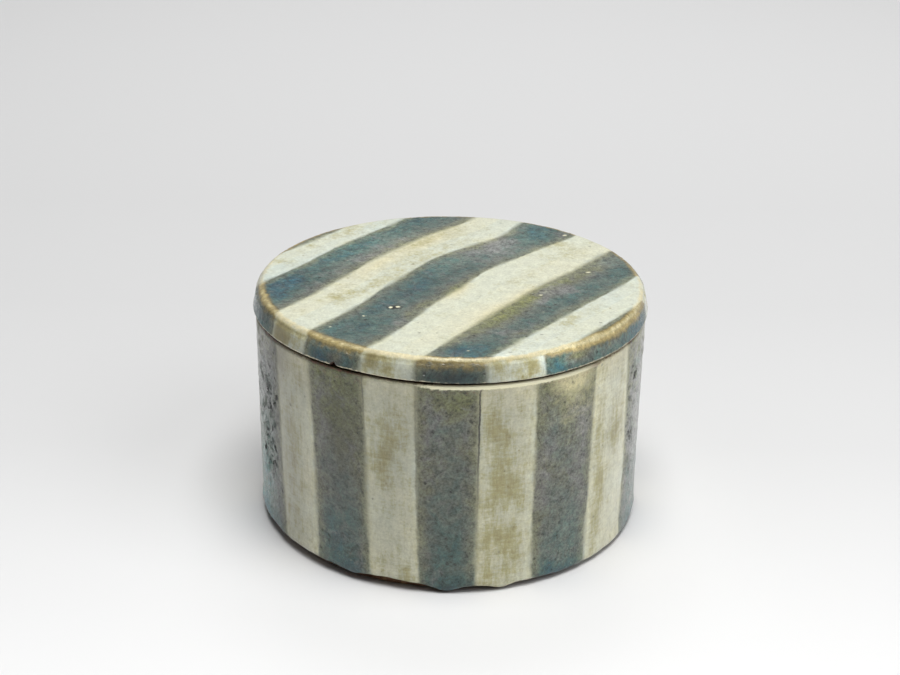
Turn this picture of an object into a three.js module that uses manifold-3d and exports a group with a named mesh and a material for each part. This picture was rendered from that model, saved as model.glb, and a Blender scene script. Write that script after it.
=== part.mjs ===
// A round stoneware box with a flush lid, slab built: a floor in a wall, a foot ring under it, a collar
// that stands up inside the rim, and a lid made of a plate and a shallow skirt that drops over the collar.
// Millimetres, +Z up. The origin is on the table, at the middle of the foot ring. The front is towards -Y.
import * as THREE from "three";
import { mergeVertices } from "three/addons/utils/BufferGeometryUtils.js";
import Module from "manifold-3d";

// Lid
const lidRadius = 95; // at the lower edge of the lid, the widest circle of the box
const lidHeight = 10.4; // from the lower edge of the skirt to the top face
const lidDraft = 2.3; // how much smaller the top face would be without its shoulder
const lidPlateThickness = 5.4;
const shoulderRounding = 2.8;
const skirtEdgeRounding = 0.9;
const skirtInnerRounding = 0.5;
const seatGap = 0.3; // between the skirt and the rim that it stands on

// Wall
const overhang = 1.0; // the lid stands this far proud of the wall
const wallThickness = 7;
const rimHeight = 106.6; // from the table to the rim
const rimRounding = 1.4;
const slipGap = 0.3; // the slip that lutes two clay members together

// Lower edge of the wall, a lip that hangs outside the foot and carries the thick glaze
const edgeHang = 2.3; // mean depth of the lip below the underside of the floor
const edgeTilt = 1.6; // the edge is this much lower on the right and higher on the left
const edgeRoll = 1.3; // rounding of the hanging lip
const lipWidth = 3.4;
// Each run of glaze: angle round the box in degrees from +X, how far it hangs down, half width in degrees
const glazeRuns = [
  { at: -118, drop: 1.1, spread: 3.4 },
  { at: -106, drop: -1.1, spread: 9 },
  { at: -90.6, drop: 2.4, spread: 4 },
  { at: -74.6, drop: 1.8, spread: 3.6 },
  { at: -52, drop: 0.6, spread: 14 },
  { at: 22, drop: 0.9, spread: 5 },
  { at: 71, drop: 1.7, spread: 4 },
  { at: 128, drop: 2.3, spread: 4.5 },
  { at: 163, drop: 1.2, spread: 5 },
];

// Collar
const collarThickness = 4.4;
const collarDepth = 12; // below the rim, where it is luted to the wall
const collarHeadroom = 1.1; // from its top to the plate of the lid
const collarClearance = 1.0; // from its outside to the skirt of the lid
const collarRounding = 1.2;

// Floor and foot
const floorThickness = 7;
const footHeight = 5.6;
const footSetback = 1.1; // from the inner side of the hanging lip to the face of the foot
const footWidth = 9;
const footRounding = 0.8;

// A chip in the lower edge of the lid
const chipAngle = -122.4;
const chipWidth = 2.6;
const chipHeight = 1.4;

// Facets
const facets = 96;
const wallFacets = 144;
const curveSteps = 3;

const wallRadius = lidRadius - overhang;
const wallInside = wallRadius - wallThickness;
const underside = footHeight + slipGap; // of the floor and of the inner part of the wall
const collarRadius = wallInside - slipGap;
const lidSeat = rimHeight + seatGap;
const plateBottom = lidHeight - lidPlateThickness; // over the lower edge of the lid, as is the next height
const lidRadiusAt = (height) => lidRadius - (lidDraft * height) / lidHeight;

// The points of a profile in radius and height, with no point twice in a row.
function pointsOf(path) {
  const points = path.getPoints(curveSteps);
  return points.filter((p, i) => i === 0 || p.distanceTo(points[i - 1]) > 1e-4);
}

// Turns a profile about Z. A profile that starts and ends on the axis makes a disc, a closed one a ring.
function turned(path, around = facets) {
  return new THREE.LatheGeometry(pointsOf(path), around).rotateX(Math.PI / 2);
}

// A ring whose profile changes as it goes round: profileAt(angle) gives the same number of points each time.
function wavyRing(profileAt, around) {
  const position = [];
  const index = [];
  const count = profileAt(0).length;
  for (let i = 0; i < around; i++) {
    const angle = (i / around) * 2 * Math.PI;
    for (const p of profileAt(angle)) position.push(p.x * Math.cos(angle), p.x * Math.sin(angle), p.y);
  }
  for (let i = 0; i < around; i++)
    for (let j = 0; j < count; j++) {
      const next = (j + 1) % count;
      const a = i * count + j;
      const b = i * count + next;
      const c = ((i + 1) % around) * count + next;
      const d = ((i + 1) % around) * count + j;
      index.push(a, c, b, a, d, c);
    }
  return new THREE.BufferGeometry()
    .setAttribute("position", new THREE.Float32BufferAttribute(position, 3))
    .setIndex(index);
}

// The height of the wall's lower edge over the table at an angle in radians.
function edgeAt(angle) {
  const degrees = THREE.MathUtils.radToDeg(angle);
  let height = underside - edgeHang - edgeTilt * Math.cos(angle);
  for (const run of glazeRuns) {
    const away = THREE.MathUtils.euclideanModulo(degrees - run.at + 180, 360) - 180;
    height -= run.drop * Math.exp(-((away / run.spread) ** 2));
  }
  return height;
}

// The wall's section at an angle: up the outside from the hanging lip, over the rim and down the inside.
function wallSection(angle) {
  const edge = edgeAt(angle);
  const path = new THREE.Path();
  path.moveTo(wallRadius - lipWidth, underside);
  path.lineTo(wallRadius - lipWidth / 2 - edgeRoll / 2, edge + edgeRoll / 4);
  path.quadraticCurveTo(wallRadius, edge - edgeRoll / 4, wallRadius, edge + edgeRoll);
  path.lineTo(wallRadius, rimHeight - rimRounding);
  path.quadraticCurveTo(wallRadius, rimHeight, wallRadius - rimRounding, rimHeight);
  path.lineTo(wallInside, rimHeight);
  path.lineTo(wallInside, underside);
  return pointsOf(path);
}

function wall() {
  return wavyRing(wallSection, wallFacets);
}

// The slab inside the wall, with its middle at height 0.
function floorSlab() {
  const radius = wallInside - slipGap;
  return new THREE.CylinderGeometry(radius, radius, floorThickness, facets).rotateX(Math.PI / 2);
}

function footRing() {
  const outside = wallRadius - lipWidth - footSetback;
  const inside = outside - footWidth;
  const path = new THREE.Path();
  path.moveTo(inside + footRounding, 0);
  path.lineTo(outside - footRounding, 0);
  path.quadraticCurveTo(outside, 0, outside, footRounding);
  path.lineTo(outside, footHeight);
  path.lineTo(inside, footHeight);
  path.lineTo(inside, footRounding);
  path.quadraticCurveTo(inside, 0, inside + footRounding, 0);
  return turned(path);
}

function collar() {
  const inside = collarRadius - collarThickness;
  const bottom = rimHeight - collarDepth;
  const top = lidSeat + plateBottom - collarHeadroom;
  const path = new THREE.Path();
  path.moveTo(inside, bottom);
  path.lineTo(collarRadius, bottom);
  path.lineTo(collarRadius, top - collarRounding);
  path.quadraticCurveTo(collarRadius, top, collarRadius - collarRounding, top);
  path.lineTo(inside + collarRounding, top);
  path.quadraticCurveTo(inside, top, inside, top - collarRounding);
  path.lineTo(inside, bottom);
  return turned(path);
}

// The plate and the skirt are drawn with the lower edge of the lid at height 0.
function lidPlate() {
  const shoulder = lidHeight - shoulderRounding;
  const corner = lidRadiusAt(lidHeight);
  const path = new THREE.Path();
  path.moveTo(0, plateBottom);
  path.lineTo(lidRadiusAt(plateBottom), plateBottom);
  path.lineTo(lidRadiusAt(shoulder), shoulder);
  path.quadraticCurveTo(corner, lidHeight, corner - shoulderRounding, lidHeight);
  path.lineTo(0, lidHeight);
  return turned(path);
}

function lidSkirt() {
  const inside = collarRadius + collarClearance;
  const top = plateBottom - slipGap;
  const path = new THREE.Path();
  path.moveTo(inside + skirtInnerRounding, 0);
  path.lineTo(lidRadius - skirtEdgeRounding, 0);
  path.quadraticCurveTo(lidRadius, 0, lidRadiusAt(skirtEdgeRounding), skirtEdgeRounding);
  path.lineTo(lidRadiusAt(top), top);
  path.lineTo(inside, top);
  path.lineTo(inside, skirtInnerRounding);
  path.quadraticCurveTo(inside, 0, inside + skirtInnerRounding, 0);
  return turned(path);
}

// The missing flake: a flattened ball on the skirt's lower outer edge.
function chip() {
  const angle = THREE.MathUtils.degToRad(chipAngle);
  return new THREE.SphereGeometry(1, 10, 8)
    .scale(chipWidth / 2, chipWidth / 2, chipHeight)
    .rotateZ(angle)
    .translate(lidRadius * Math.cos(angle), lidRadius * Math.sin(angle), 0);
}

const wasm = await Module();
wasm.setup();

// A closed geometry as a manifold-3d solid.
function solidOf(geometry) {
  const bare = geometry.clone();
  bare.deleteAttribute("normal");
  bare.deleteAttribute("uv");
  const merged = mergeVertices(bare, 1e-3);
  return new wasm.Manifold(
    new wasm.Mesh({
      numProp: 3,
      vertProperties: merged.attributes.position.array,
      triVerts: new Uint32Array(merged.index.array),
    }),
  );
}

// What is left of one geometry when another is cut out of it.
function cut(body, tool) {
  const mesh = solidOf(body).subtract(solidOf(tool)).getMesh();
  return new THREE.BufferGeometry()
    .setAttribute("position", new THREE.BufferAttribute(mesh.vertProperties, 3))
    .setIndex(new THREE.BufferAttribute(mesh.triVerts, 1));
}

// Finishes
const stripedGlaze = new THREE.MeshStandardMaterial({ color: 0x8c9486, roughness: 0.35, metalness: 0 });
const innerGlaze = new THREE.MeshStandardMaterial({ color: 0xcfceb8, roughness: 0.3, metalness: 0 });
const bareClay = new THREE.MeshStandardMaterial({ color: 0x8a6a4c, roughness: 0.85, metalness: 0 });

function add(parent, name, geometry, material, height = 0) {
  if (!geometry.getAttribute("normal")) geometry.computeVertexNormals();
  const mesh = new THREE.Mesh(geometry, material);
  mesh.name = name;
  mesh.position.z = height;
  parent.add(mesh);
}

const vessel = new THREE.Group();
add(vessel, "foot_ring", footRing(), bareClay);
add(vessel, "floor_slab", floorSlab(), innerGlaze, underside + floorThickness / 2);
add(vessel, "wall", wall(), stripedGlaze);
add(vessel, "rim_collar", collar(), bareClay);

const lid = new THREE.Group();
lid.position.z = lidSeat;
add(lid, "lid_skirt", cut(lidSkirt(), chip()), stripedGlaze);
add(lid, "lid_plate", lidPlate(), stripedGlaze);

const stonewareBox = new THREE.Group();
stonewareBox.add(vessel, lid);

export default stonewareBox;
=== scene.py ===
"""A round stoneware box with a flush lid, dressed in broad stripes of dark and pale glaze.

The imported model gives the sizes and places. Each sub-assembly is a class that models its clay and glaze as
one closed mesh, and each finish is a frozen dataclass that mixes its own material. Lengths are in millimetres
until a mesh is made, and the frame is in metres. Angles round the box are in degrees, 0 at its right and -90
at its front.
"""

import logging
import math
from dataclasses import dataclass, field, replace
from enum import Enum
from typing import Callable, Iterable, Sequence, Union

import bmesh
import bpy
import numpy as np
from mathutils import Euler, Matrix, Vector, noise


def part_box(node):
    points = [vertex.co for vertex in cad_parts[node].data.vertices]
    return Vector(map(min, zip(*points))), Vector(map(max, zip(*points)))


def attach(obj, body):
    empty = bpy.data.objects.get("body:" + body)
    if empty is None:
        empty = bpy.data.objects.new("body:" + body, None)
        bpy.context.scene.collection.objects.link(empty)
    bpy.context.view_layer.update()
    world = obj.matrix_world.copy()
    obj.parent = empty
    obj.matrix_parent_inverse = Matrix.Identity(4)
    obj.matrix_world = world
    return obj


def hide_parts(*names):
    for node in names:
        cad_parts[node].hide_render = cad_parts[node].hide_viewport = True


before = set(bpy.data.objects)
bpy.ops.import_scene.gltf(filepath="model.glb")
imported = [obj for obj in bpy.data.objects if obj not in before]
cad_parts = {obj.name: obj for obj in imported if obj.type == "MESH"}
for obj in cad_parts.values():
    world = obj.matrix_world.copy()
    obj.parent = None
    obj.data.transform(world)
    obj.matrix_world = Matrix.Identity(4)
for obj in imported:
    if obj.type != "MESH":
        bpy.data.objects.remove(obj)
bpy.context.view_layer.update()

LOG = logging.getLogger("stoneware_box")
MM = 0.001
WELD = 0.002  # vertices closer than this, in millimetres, become one

Colour = tuple[float, float, float, float]
Tones = tuple[tuple[float, Colour], ...]
Socket = bpy.types.NodeSocket
Feed = Union[Socket, float, Colour, tuple[float, float, float]]
Inputs = dict[Union[int, str], Feed]


class Field(Enum):
    """The vertex attributes that carry the glaze over a surface."""

    STRIPE = "stripe"  # millimetres to the nearest edge of a dark stripe, positive inside it
    POOL = "pool"  # 0 where the glaze runs thin, 1 where it lies thick
    HAZE = "haze"  # grey bloom on dark glaze; on the wall's dark stripe at -18 it is partly painted reflection
    STAIN = "stain"  # tan stain on pale glaze, pale ash on dark glaze, which at the top of the wall's stripe at -55 is a painted sheen
    THIN = "thin"  # glaze that broke thin over an edge, along the lid's front shoulder also a painted highlight
    TONE_AND_LIGHT = "shade"  # 1 for the glaze as it is mixed; other values are partly its own tone, partly painted shade and painted light
    WEAR_AND_HIGHLIGHT = "worn"  # worn edge, and painted highlights: the cream of the wall's lit rim and the glints in the lid's blisters
    RUST = "rust"  # 0 where a worn edge is cream, on the wall's lit rim partly a painted highlight, 1 where it is brown
    PIT = "pit"  # inside a burst bubble, painted dark as shade in the hollow, and a dark ring round each of the lid's blisters
    PITTED = "pitted"  # how many small holes the glaze has
    SKIN = "skin"  # how glassy the surface is
    LINE = "line"  # dark line along the edge of a stripe
    BARE = "bare"  # clay with no glaze


class Slot(Enum):
    """The material slots of the record."""

    STRIPED = "striped_glaze"
    INNER = "inner_glaze"
    CLAY = "bare_clay"


def paint(red: int, green: int, blue: int) -> Colour:
    """Turns a colour as a screen shows it into the linear values that a shader works in.

    Args:
        red: Red from 0 to 255.
        green: Green from 0 to 255.
        blue: Blue from 0 to 255.

    Returns:
        The linear colour with full alpha.
    """
    shares = (value / 255 for value in (red, green, blue))
    linear = [s / 12.92 if s <= 0.04045 else ((s + 0.055) / 1.055) ** 2.4 for s in shares]
    return (linear[0], linear[1], linear[2], 1.0)


def run_of(*stops: tuple[float, int, int, int]) -> Tones:
    """A run of colours, each given by its place and its red, green and blue from 0 to 255."""
    return tuple((place, paint(*colour)) for place, *colour in stops)


def ramp(values: np.ndarray, start: float, end: float) -> np.ndarray:
    """Climbs smoothly from 0 at start to 1 at end, which may be below start."""
    share = np.clip((values - start) / (end - start), 0.0, 1.0)
    return share * share * (3.0 - 2.0 * share)


def bell(values: np.ndarray, width: float) -> np.ndarray:
    """A bump of height 1 around 0, down to about a third at its width."""
    return np.exp(-((values / width) ** 2))


def turn_between(degrees: np.ndarray, centre: float) -> np.ndarray:
    """The signed angle from a direction, the short way round, in degrees."""
    return (degrees - centre + 180.0) % 360.0 - 180.0


@dataclass(frozen=True)
class Bump:
    """A bump on a line: where its middle is, the width where it is down to about a third, and its height."""

    middle: float
    width: float
    height: float = 1.0

    def over(self, values: np.ndarray) -> np.ndarray:
        """How high it is at each value."""
        return self.height * bell(values - self.middle, self.width)

    def round(self, degrees: np.ndarray) -> np.ndarray:
        """How high it is at each direction, with its middle and width in degrees."""
        return self.height * bell(turn_between(degrees, self.middle), self.width)


@dataclass(frozen=True)
class Climb:
    """A smooth climb from 0 at its start to its height at its end, which may be below its start."""

    start: float
    end: float
    height: float = 1.0

    def over(self, values: np.ndarray) -> np.ndarray:
        """How high it is at each value."""
        return self.height * ramp(values, self.start, self.end)


def flowing(stations: Sequence[float], values: Sequence[float], at: np.ndarray) -> np.ndarray:
    """Reads a smooth curve through a few values.

    Args:
        stations: Where the values are, in rising order.
        values: The value at each station.
        at: Where to read the curve.

    Returns:
        The curve's value at each place, level beyond the ends.
    """
    x = np.asarray(stations, float)
    y = np.asarray(values, float)
    slope = np.gradient(y, x)
    at = np.clip(at, x[0], x[-1])
    i = np.clip(np.searchsorted(x, at) - 1, 0, len(x) - 2)
    span = x[i + 1] - x[i]
    t = (at - x[i]) / span
    near = (1 + 2 * t) * (1 - t) ** 2 * y[i] + t * (1 - t) ** 2 * span * slope[i]
    far = t * t * (3 - 2 * t) * y[i + 1] + t * t * (t - 1) * span * slope[i + 1]
    return near + far


def grain(points: np.ndarray, size: float, octaves: int = 2, seed: int = 0) -> np.ndarray:
    """Smooth unevenness through space.

    Args:
        points: Places in millimetres, one row each.
        size: Width of the largest lumps in millimetres.
        octaves: How many finer layers lie on each other.
        seed: Picks another pattern of the same kind.

    Returns:
        About -1 to 1 at each point.
    """
    shift = Vector((17.3 * seed, 5.1 * seed, -9.7 * seed))
    return np.array([noise.fractal(Vector(p) / size + shift, 0.7, 2.0, octaves) for p in points.tolist()])


def grains(points: np.ndarray, kinds: Sequence[tuple[float, int]], seed: int) -> list[np.ndarray]:
    """Several kinds of unevenness, each given by its size and octaves, with one seed after another."""
    return [grain(points, size, octaves, seed + i) for i, (size, octaves) in enumerate(kinds)]


@dataclass(frozen=True)
class Patch:
    """A soft oval mark on a surface, placed and sized in the surface's own two directions.

    On an upright side these are the angle in degrees and the height over the table in millimetres. On the top
    of the lid they are millimetres to the right and away from the front.
    """

    x: float
    y: float
    half_x: float
    half_y: float
    strength: float = 1.0
    turned: float = 0.0  # degrees

    def grown(self, share: float) -> "Patch":
        """The same mark, wider or narrower."""
        return replace(self, half_x=self.half_x * share, half_y=self.half_y * share)

    def over(self, x: np.ndarray, y: np.ndarray) -> np.ndarray:
        """How strong the mark is at each place.

        Args:
            x: First coordinate of each place.
            y: Second coordinate of each place.

        Returns:
            The strength at each place, which is that of the mark in its middle.
        """
        c = math.cos(math.radians(self.turned))
        s = math.sin(math.radians(self.turned))
        dx = x - self.x
        dy = y - self.y
        along = (dx * c + dy * s) / self.half_x
        across = (dy * c - dx * s) / self.half_y
        return self.strength * np.exp(-(along**2) - across**2)


def patches(*rows: Sequence[float]) -> tuple[Patch, ...]:
    """Marks, each given by the values of a Patch in their order."""
    return tuple(Patch(*row) for row in rows)


def marks(spots: Iterable[Patch], x: np.ndarray, y: np.ndarray) -> np.ndarray:
    """Adds up soft marks at each place."""
    return sum((spot.over(x, y) for spot in spots), np.zeros_like(x))


@dataclass(frozen=True)
class Band:
    """One stripe of dark glaze between two edges, each given at the stations of its pattern."""

    low: tuple[float, ...]
    high: tuple[float, ...]
    pitted: float = 0.3
    lean: float = 0.0  # how much thicker the glaze lies at the high edge than at the low one


def in_bands(bands: Sequence[Band], stations: Sequence[float], along: np.ndarray,
             gap: Callable[[np.ndarray], np.ndarray]) -> tuple[np.ndarray, np.ndarray, np.ndarray]:
    """Measures how deep each place lies inside the nearest dark band.

    Args:
        bands: The dark bands.
        stations: Where along the stripes their edges are given.
        along: Each place's position along the stripes.
        gap: Gives the signed distance in millimetres from an edge to each place.

    Returns:
        The distance to the nearest edge, positive inside a band, how pitted the nearest band is, and how much
        thicker than elsewhere its glaze lies there.
    """
    depth = np.full(along.shape, -1000.0)
    pitted = np.zeros(along.shape)
    thicker = np.zeros(along.shape)
    for band in bands:
        from_low = gap(flowing(stations, band.low, along))
        to_high = -gap(flowing(stations, band.high, along))
        inside = np.minimum(from_low, to_high)
        nearer = inside > depth
        depth[nearer] = inside[nearer]
        pitted[nearer] = band.pitted
        across = np.clip(from_low / np.maximum(from_low + to_high, 0.1), 0.0, 1.0)
        thicker[nearer] = band.lean * (across[nearer] - 0.5)
    return depth, pitted, thicker


def gap_round(angle: np.ndarray, radius: float) -> Callable[[np.ndarray], np.ndarray]:
    """Makes the measure of the signed distance in millimetres, round a wall, from an edge to each angle."""
    arc = math.radians(1.0) * radius
    return lambda edge: turn_between(angle, edge) * arc


@dataclass(frozen=True)
class WallStripes:
    """The upright stripes of the wall: edges in degrees round the box, at heights over the table."""

    heights: tuple[float, ...] = (0.0, 35.0, 70.0, 106.0)
    bands: tuple[Band, ...] = (
        Band((-174.0, -173.5, -174.5, -175.0), (-144.0, -146.1, -146.4, -147.3), 1.0),
        Band((-129.5, -130.1, -130.7, -132.0), (-111.8, -112.7, -113.1, -113.9), 0.35),
        Band((-97.8, -98.4, -98.8, -99.1), (-82.3, -82.1, -82.0, -81.8), 0.4),
        Band((-65.9, -66.1, -66.0, -66.1), (-47.5, -47.0, -46.5, -45.9), 0.25),
        Band((-29.0, -28.4, -28.8, -30.0), (-5.5, -6.4, -6.0, -6.8), 0.9),
        Band((8.5, 8.0, 7.2, 8.2), (27.4, 26.6, 27.0, 27.9), 0.5),
        Band((45.0, 45.8, 46.2, 45.2), (63.0, 64.0, 63.6, 64.4), 0.7),
        Band((82.6, 82.0, 81.4, 82.2), (101.8, 101.0, 100.6, 101.4), 0.4),
        Band((120.6, 120.0, 119.4, 120.4), (138.6, 138.0, 137.6, 138.8), 0.6),
        Band((153.5, 154.3, 154.0, 153.4), (170.8, 171.4, 171.0, 170.2), 0.8),
    )

    def measure(self, angle: np.ndarray, height: np.ndarray, radius: float) -> tuple[np.ndarray, np.ndarray]:
        """Distance into the nearest dark stripe, in millimetres, and how pitted it is."""
        depth, pitted, _ = in_bands(self.bands, self.heights, height, gap_round(angle, radius))
        return depth, pitted


@dataclass(frozen=True)
class LidStripes:
    """The stripes of the lid, which cross its top on a slant and turn down its side.

    The top's edges are millimetres from the lid's middle line along the slant, and the side's are degrees.
    """

    slant: float = 55.0  # degrees from the right
    stations: tuple[float, ...] = (-78.0, -54.0, -30.0, -6.0, 18.0, 42.0, 66.0, 84.0)
    top: tuple[Band, ...] = (
        Band((-140.0,) * 8, (-87.5, -87.3, -87.2, -87.7, -88.5, -89.2, -89.5, -89.5), 0.2),
        Band((-66.0, -66.6, -67.4, -68.4, -69.6, -70.6, -70.3, -70.0),
             (-42.5, -41.5, -40.4, -40.2, -39.8, -41.7, -42.3, -43.3), 0.6, -0.3),
        Band((-18.0, -16.0, -12.0, -11.0, -8.2, -10.7, -14.1, -17.0),
             (14.0, 15.0, 18.3, 20.7, 22.2, 18.2, 13.5, 16.0), 0.8, 0.1),
        Band((39.8, 40.0, 42.0, 44.7, 45.1, 44.2, 40.8, 40.8),
             (69.0, 68.7, 68.6, 70.6, 71.0, 69.9, 69.8, 69.8), 0.5, 0.35),
        Band((89.5, 89.0, 87.9, 86.7, 86.2, 88.0, 89.5, 90.0), (140.0,) * 8, 0.2),
    )
    side: tuple[tuple[float, float], ...] = (
        (-176.0, -148.6), (-133.0, -114.4), (-99.4, -80.2), (-64.0, -13.0),
        (5.5, 27.8), (45.0, 64.4), (81.5, 104.5), (127.0, 162.0),
    )

    def measure(self, points: np.ndarray, angle: np.ndarray, radius: float,
                side: np.ndarray) -> tuple[np.ndarray, np.ndarray, np.ndarray]:
        """Measures the pattern of the top and of the side, and blends them over the shoulder.

        Args:
            points: Places in millimetres.
            angle: Their angle round the lid in degrees.
            radius: Radius of the lid's side.
            side: 0 on the top, 1 on the side.

        Returns:
            The distance into the nearest dark stripe, how pitted it is and how much thicker its glaze lies.
        """
        c = math.cos(math.radians(self.slant))
        s = math.sin(math.radians(self.slant))
        along = points[:, 0] * c + points[:, 1] * s
        across = points[:, 1] * c - points[:, 0] * s
        on_top, pitted, thicker = in_bands(self.top, self.stations, along, lambda edge: across - edge)
        upright = [Band((low, low), (high, high)) for low, high in self.side]
        on_side, _, _ = in_bands(upright, (-1.0, 1.0), np.zeros(len(angle)), gap_round(angle, radius))
        return on_top * (1 - side) + on_side * side, pitted, thicker * (1 - side)


@dataclass(frozen=True)
class Pits:
    """Burst bubbles and blisters, scattered over dark glaze. Shares without a note are of a pit's radius."""

    per_square_centimetre: float
    smallest: float
    largest: float
    depth: float
    seed: int = 5
    smaller: float = 0.6  # share of its size that a pit keeps where the weight is least
    lip: float = 0.22  # share of the depth that stands up round the pit
    lip_at: float = 1.25
    lip_width: float = 0.35
    bowl: float = 0.72  # how wide the hollow is
    inner: float = 0.62  # how wide its dark inside is, which is painted shade in the hollow
    reach: float = 2.2  # how far from its middle a pit moves the surface

    def scatter(self, u: np.ndarray, v: np.ndarray, weight: np.ndarray,
                stretch: float = 1.0) -> tuple[np.ndarray, np.ndarray]:
        """Digs pits where the weight allows.

        Args:
            u: First surface coordinate of each vertex, in millimetres.
            v: Second surface coordinate of each vertex, in millimetres.
            weight: From 0, no pits, to 1, as many and as wide as they come.
            stretch: How much longer a pit is along v.

        Returns:
            The height to add, in millimetres, and how far inside a pit each vertex is, from 0 to 1.
        """
        rng = np.random.default_rng(self.seed)
        low_u, high_u = float(u.min()), float(u.max())
        low_v, high_v = float(v.min()), float(v.max())
        count = int((high_u - low_u) * (high_v - low_v) / 100.0 * self.per_square_centimetre)
        height = np.zeros(len(u))
        inside = np.zeros(len(u))
        order = np.argsort(u)
        sorted_u = u[order]
        for _ in range(count):
            at_u = rng.uniform(low_u, high_u)
            at_v = rng.uniform(low_v, high_v)
            size = self.smallest + (self.largest - self.smallest) * rng.random() ** 3
            chance = rng.random()
            reach = self.reach * size
            first, last = np.searchsorted(sorted_u, (at_u - reach, at_u + reach))
            near = order[first:last]
            near = near[np.abs(v[near] - at_v) < reach * stretch]
            if len(near) == 0:
                continue
            away = np.hypot(u[near] - at_u, (v[near] - at_v) / stretch)
            local = float(weight[near[np.argmin(away)]])
            if chance > local:
                continue
            size *= self.smaller + (1.0 - self.smaller) * local
            away /= size
            edge = self.lip * bell(away - self.lip_at, self.lip_width)
            height[near] += size * self.depth * (edge - bell(away, self.bowl))
            inside[near] = np.maximum(inside[near], bell(away, self.inner))
        return height, inside


class Recipe:
    """Builds the node tree of one material, one short call for each node."""

    def __init__(self, name: str) -> None:
        """Starts a material with a bare Principled shader.

        Args:
            name: The material's name.
        """
        self.material = bpy.data.materials.new(name)
        self.material.use_nodes = True
        self.tree = self.material.node_tree
        self.shader = self.tree.nodes["Principled BSDF"]
        self.places = self.node("ShaderNodeTexCoord", {}, {}).outputs["Object"]

    def node(self, kind: str, settings: dict[str, object], inputs: Inputs) -> bpy.types.Node:
        """Adds a node.

        Args:
            kind: Blender's name for the node type.
            settings: Properties to set on the node.
            inputs: What each input takes, a value or another node's socket.

        Returns:
            The node.
        """
        made = self.tree.nodes.new(kind)
        for key, value in settings.items():
            setattr(made, key, value)
        for key, value in inputs.items():
            self.feed(made.inputs[key], value)
        return made

    def feed(self, socket: Socket, value: Feed) -> None:
        """Gives a socket a value or a link.

        Args:
            socket: The input that takes it.
            value: A number, a colour or another node's output.
        """
        if isinstance(value, bpy.types.NodeSocket):
            self.tree.links.new(value, socket)
        else:
            socket.default_value = value

    def field(self, name: Field) -> Socket:
        """The value of a vertex attribute."""
        return self.node("ShaderNodeAttribute", {"attribute_name": name.value}, {}).outputs["Fac"]

    def shifted(self, scale: tuple[float, float, float], shift: float) -> Socket:
        """Places scaled along each axis, and moved to pick another part of a pattern."""
        return self.node("ShaderNodeMapping", {}, {
            "Vector": self.places, "Scale": scale, "Location": (shift, -shift, 0.7 * shift),
        }).outputs[0]

    def noise(self, size: float, detail: float = 2.0, rough: float = 0.5, warp: float = 0.0,
              stretch: tuple[float, float, float] = (1.0, 1.0, 1.0), shift: float = 0.0) -> Socket:
        """Cloudy noise.

        Args:
            size: Width of the largest clouds in millimetres.
            detail: How many finer layers lie on them.
            rough: How strong the finer layers are.
            warp: How much the clouds are pulled about.
            stretch: How much longer the clouds are along each axis.
            shift: Moves the pattern, to pick another part of it.

        Returns:
            A value around 0.5.
        """
        place = self.shifted(tuple(1.0 / (s * size * MM) for s in stretch), shift)
        return self.node("ShaderNodeTexNoise", {}, {
            "Vector": place, "Scale": 1.0, "Detail": detail, "Roughness": rough, "Distortion": warp,
        }).outputs["Fac"]

    def uneven(self, size: float, strength: float, detail: float = 3.0, rough: float = 0.6, warp: float = 0.0,
               stretch: tuple[float, float, float] = (1.0, 1.0, 1.0), shift: float = 0.0) -> Socket:
        """Cloudy noise around 0, mostly within a fifth of its strength, with the other settings of noise."""
        clouds = self.math("SUBTRACT", self.noise(size, detail, rough, warp, stretch, shift), 0.5)
        return clouds if strength == 1.0 else self.times(clouds, strength)

    def veins(self, size: float, width: float, strength: float, shift: float) -> Socket:
        """Thin winding veins, minus their strength inside them and 0 elsewhere."""
        across = self.math("ABSOLUTE", self.uneven(size, 1.0, 2.0, warp=0.4, shift=shift))
        return self.slope(across, 0.0, width, -strength, 0.0)

    def bare(self, size: float, detail: float) -> Socket:
        """Where the clay is bare, from 0 to 1, with an edge that is torn by noise of a size and detail."""
        torn = self.add(self.field(Field.BARE), self.uneven(size, 0.5, detail))
        return self.slope(torn, 0.42, 0.58)

    def holes(self, size: float, share: Feed, smallest: float, largest: float, stretch: float = 1.0,
              shift: float = 0.0, edge: float = 0.07, warp: float = 0.0) -> Socket:
        """Round marks scattered through space.

        Args:
            size: Mean distance between the places where a mark may be, in millimetres.
            share: How many of the places carry one, from 0 to 1.
            smallest: Radius of the smallest, as a share of the size.
            largest: Radius of the largest, as a share of the size.
            stretch: How much longer they are upright than across.
            shift: Moves the pattern.
            edge: Softness of their outline, as a share of the size.
            warp: How ragged their outline is.

        Returns:
            1 inside a mark and 0 outside it.
        """
        scale = 1.0 / (size * MM)
        place = self.shifted((scale, scale, scale / stretch), shift)
        if warp:
            ragged = self.node("ShaderNodeTexNoise", {}, {"Vector": place, "Scale": 2.2, "Detail": 2.0})
            place = self.node("ShaderNodeVectorMath", {"operation": "MULTIPLY_ADD"}, {
                0: ragged.outputs["Color"], 1: (warp, warp, warp), 2: place,
            }).outputs[0]
        points = self.node("ShaderNodeTexVoronoi", {}, {"Vector": place, "Scale": 1.0})
        chance = self.node("ShaderNodeSeparateColor", {}, {0: points.outputs["Color"]})
        radius = self.slope(chance.outputs[0], 0.0, 1.0, smallest, largest)
        inside = self.slope(self.math("SUBTRACT", radius, points.outputs["Distance"]), -edge, edge)
        return self.times(inside, self.math("LESS_THAN", chance.outputs[1], share))

    def math(self, operation: str, first: Feed, second: Feed = 0.0) -> Socket:
        """One sum on one or two values."""
        return self.node("ShaderNodeMath", {"operation": operation}, {0: first, 1: second}).outputs[0]

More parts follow.
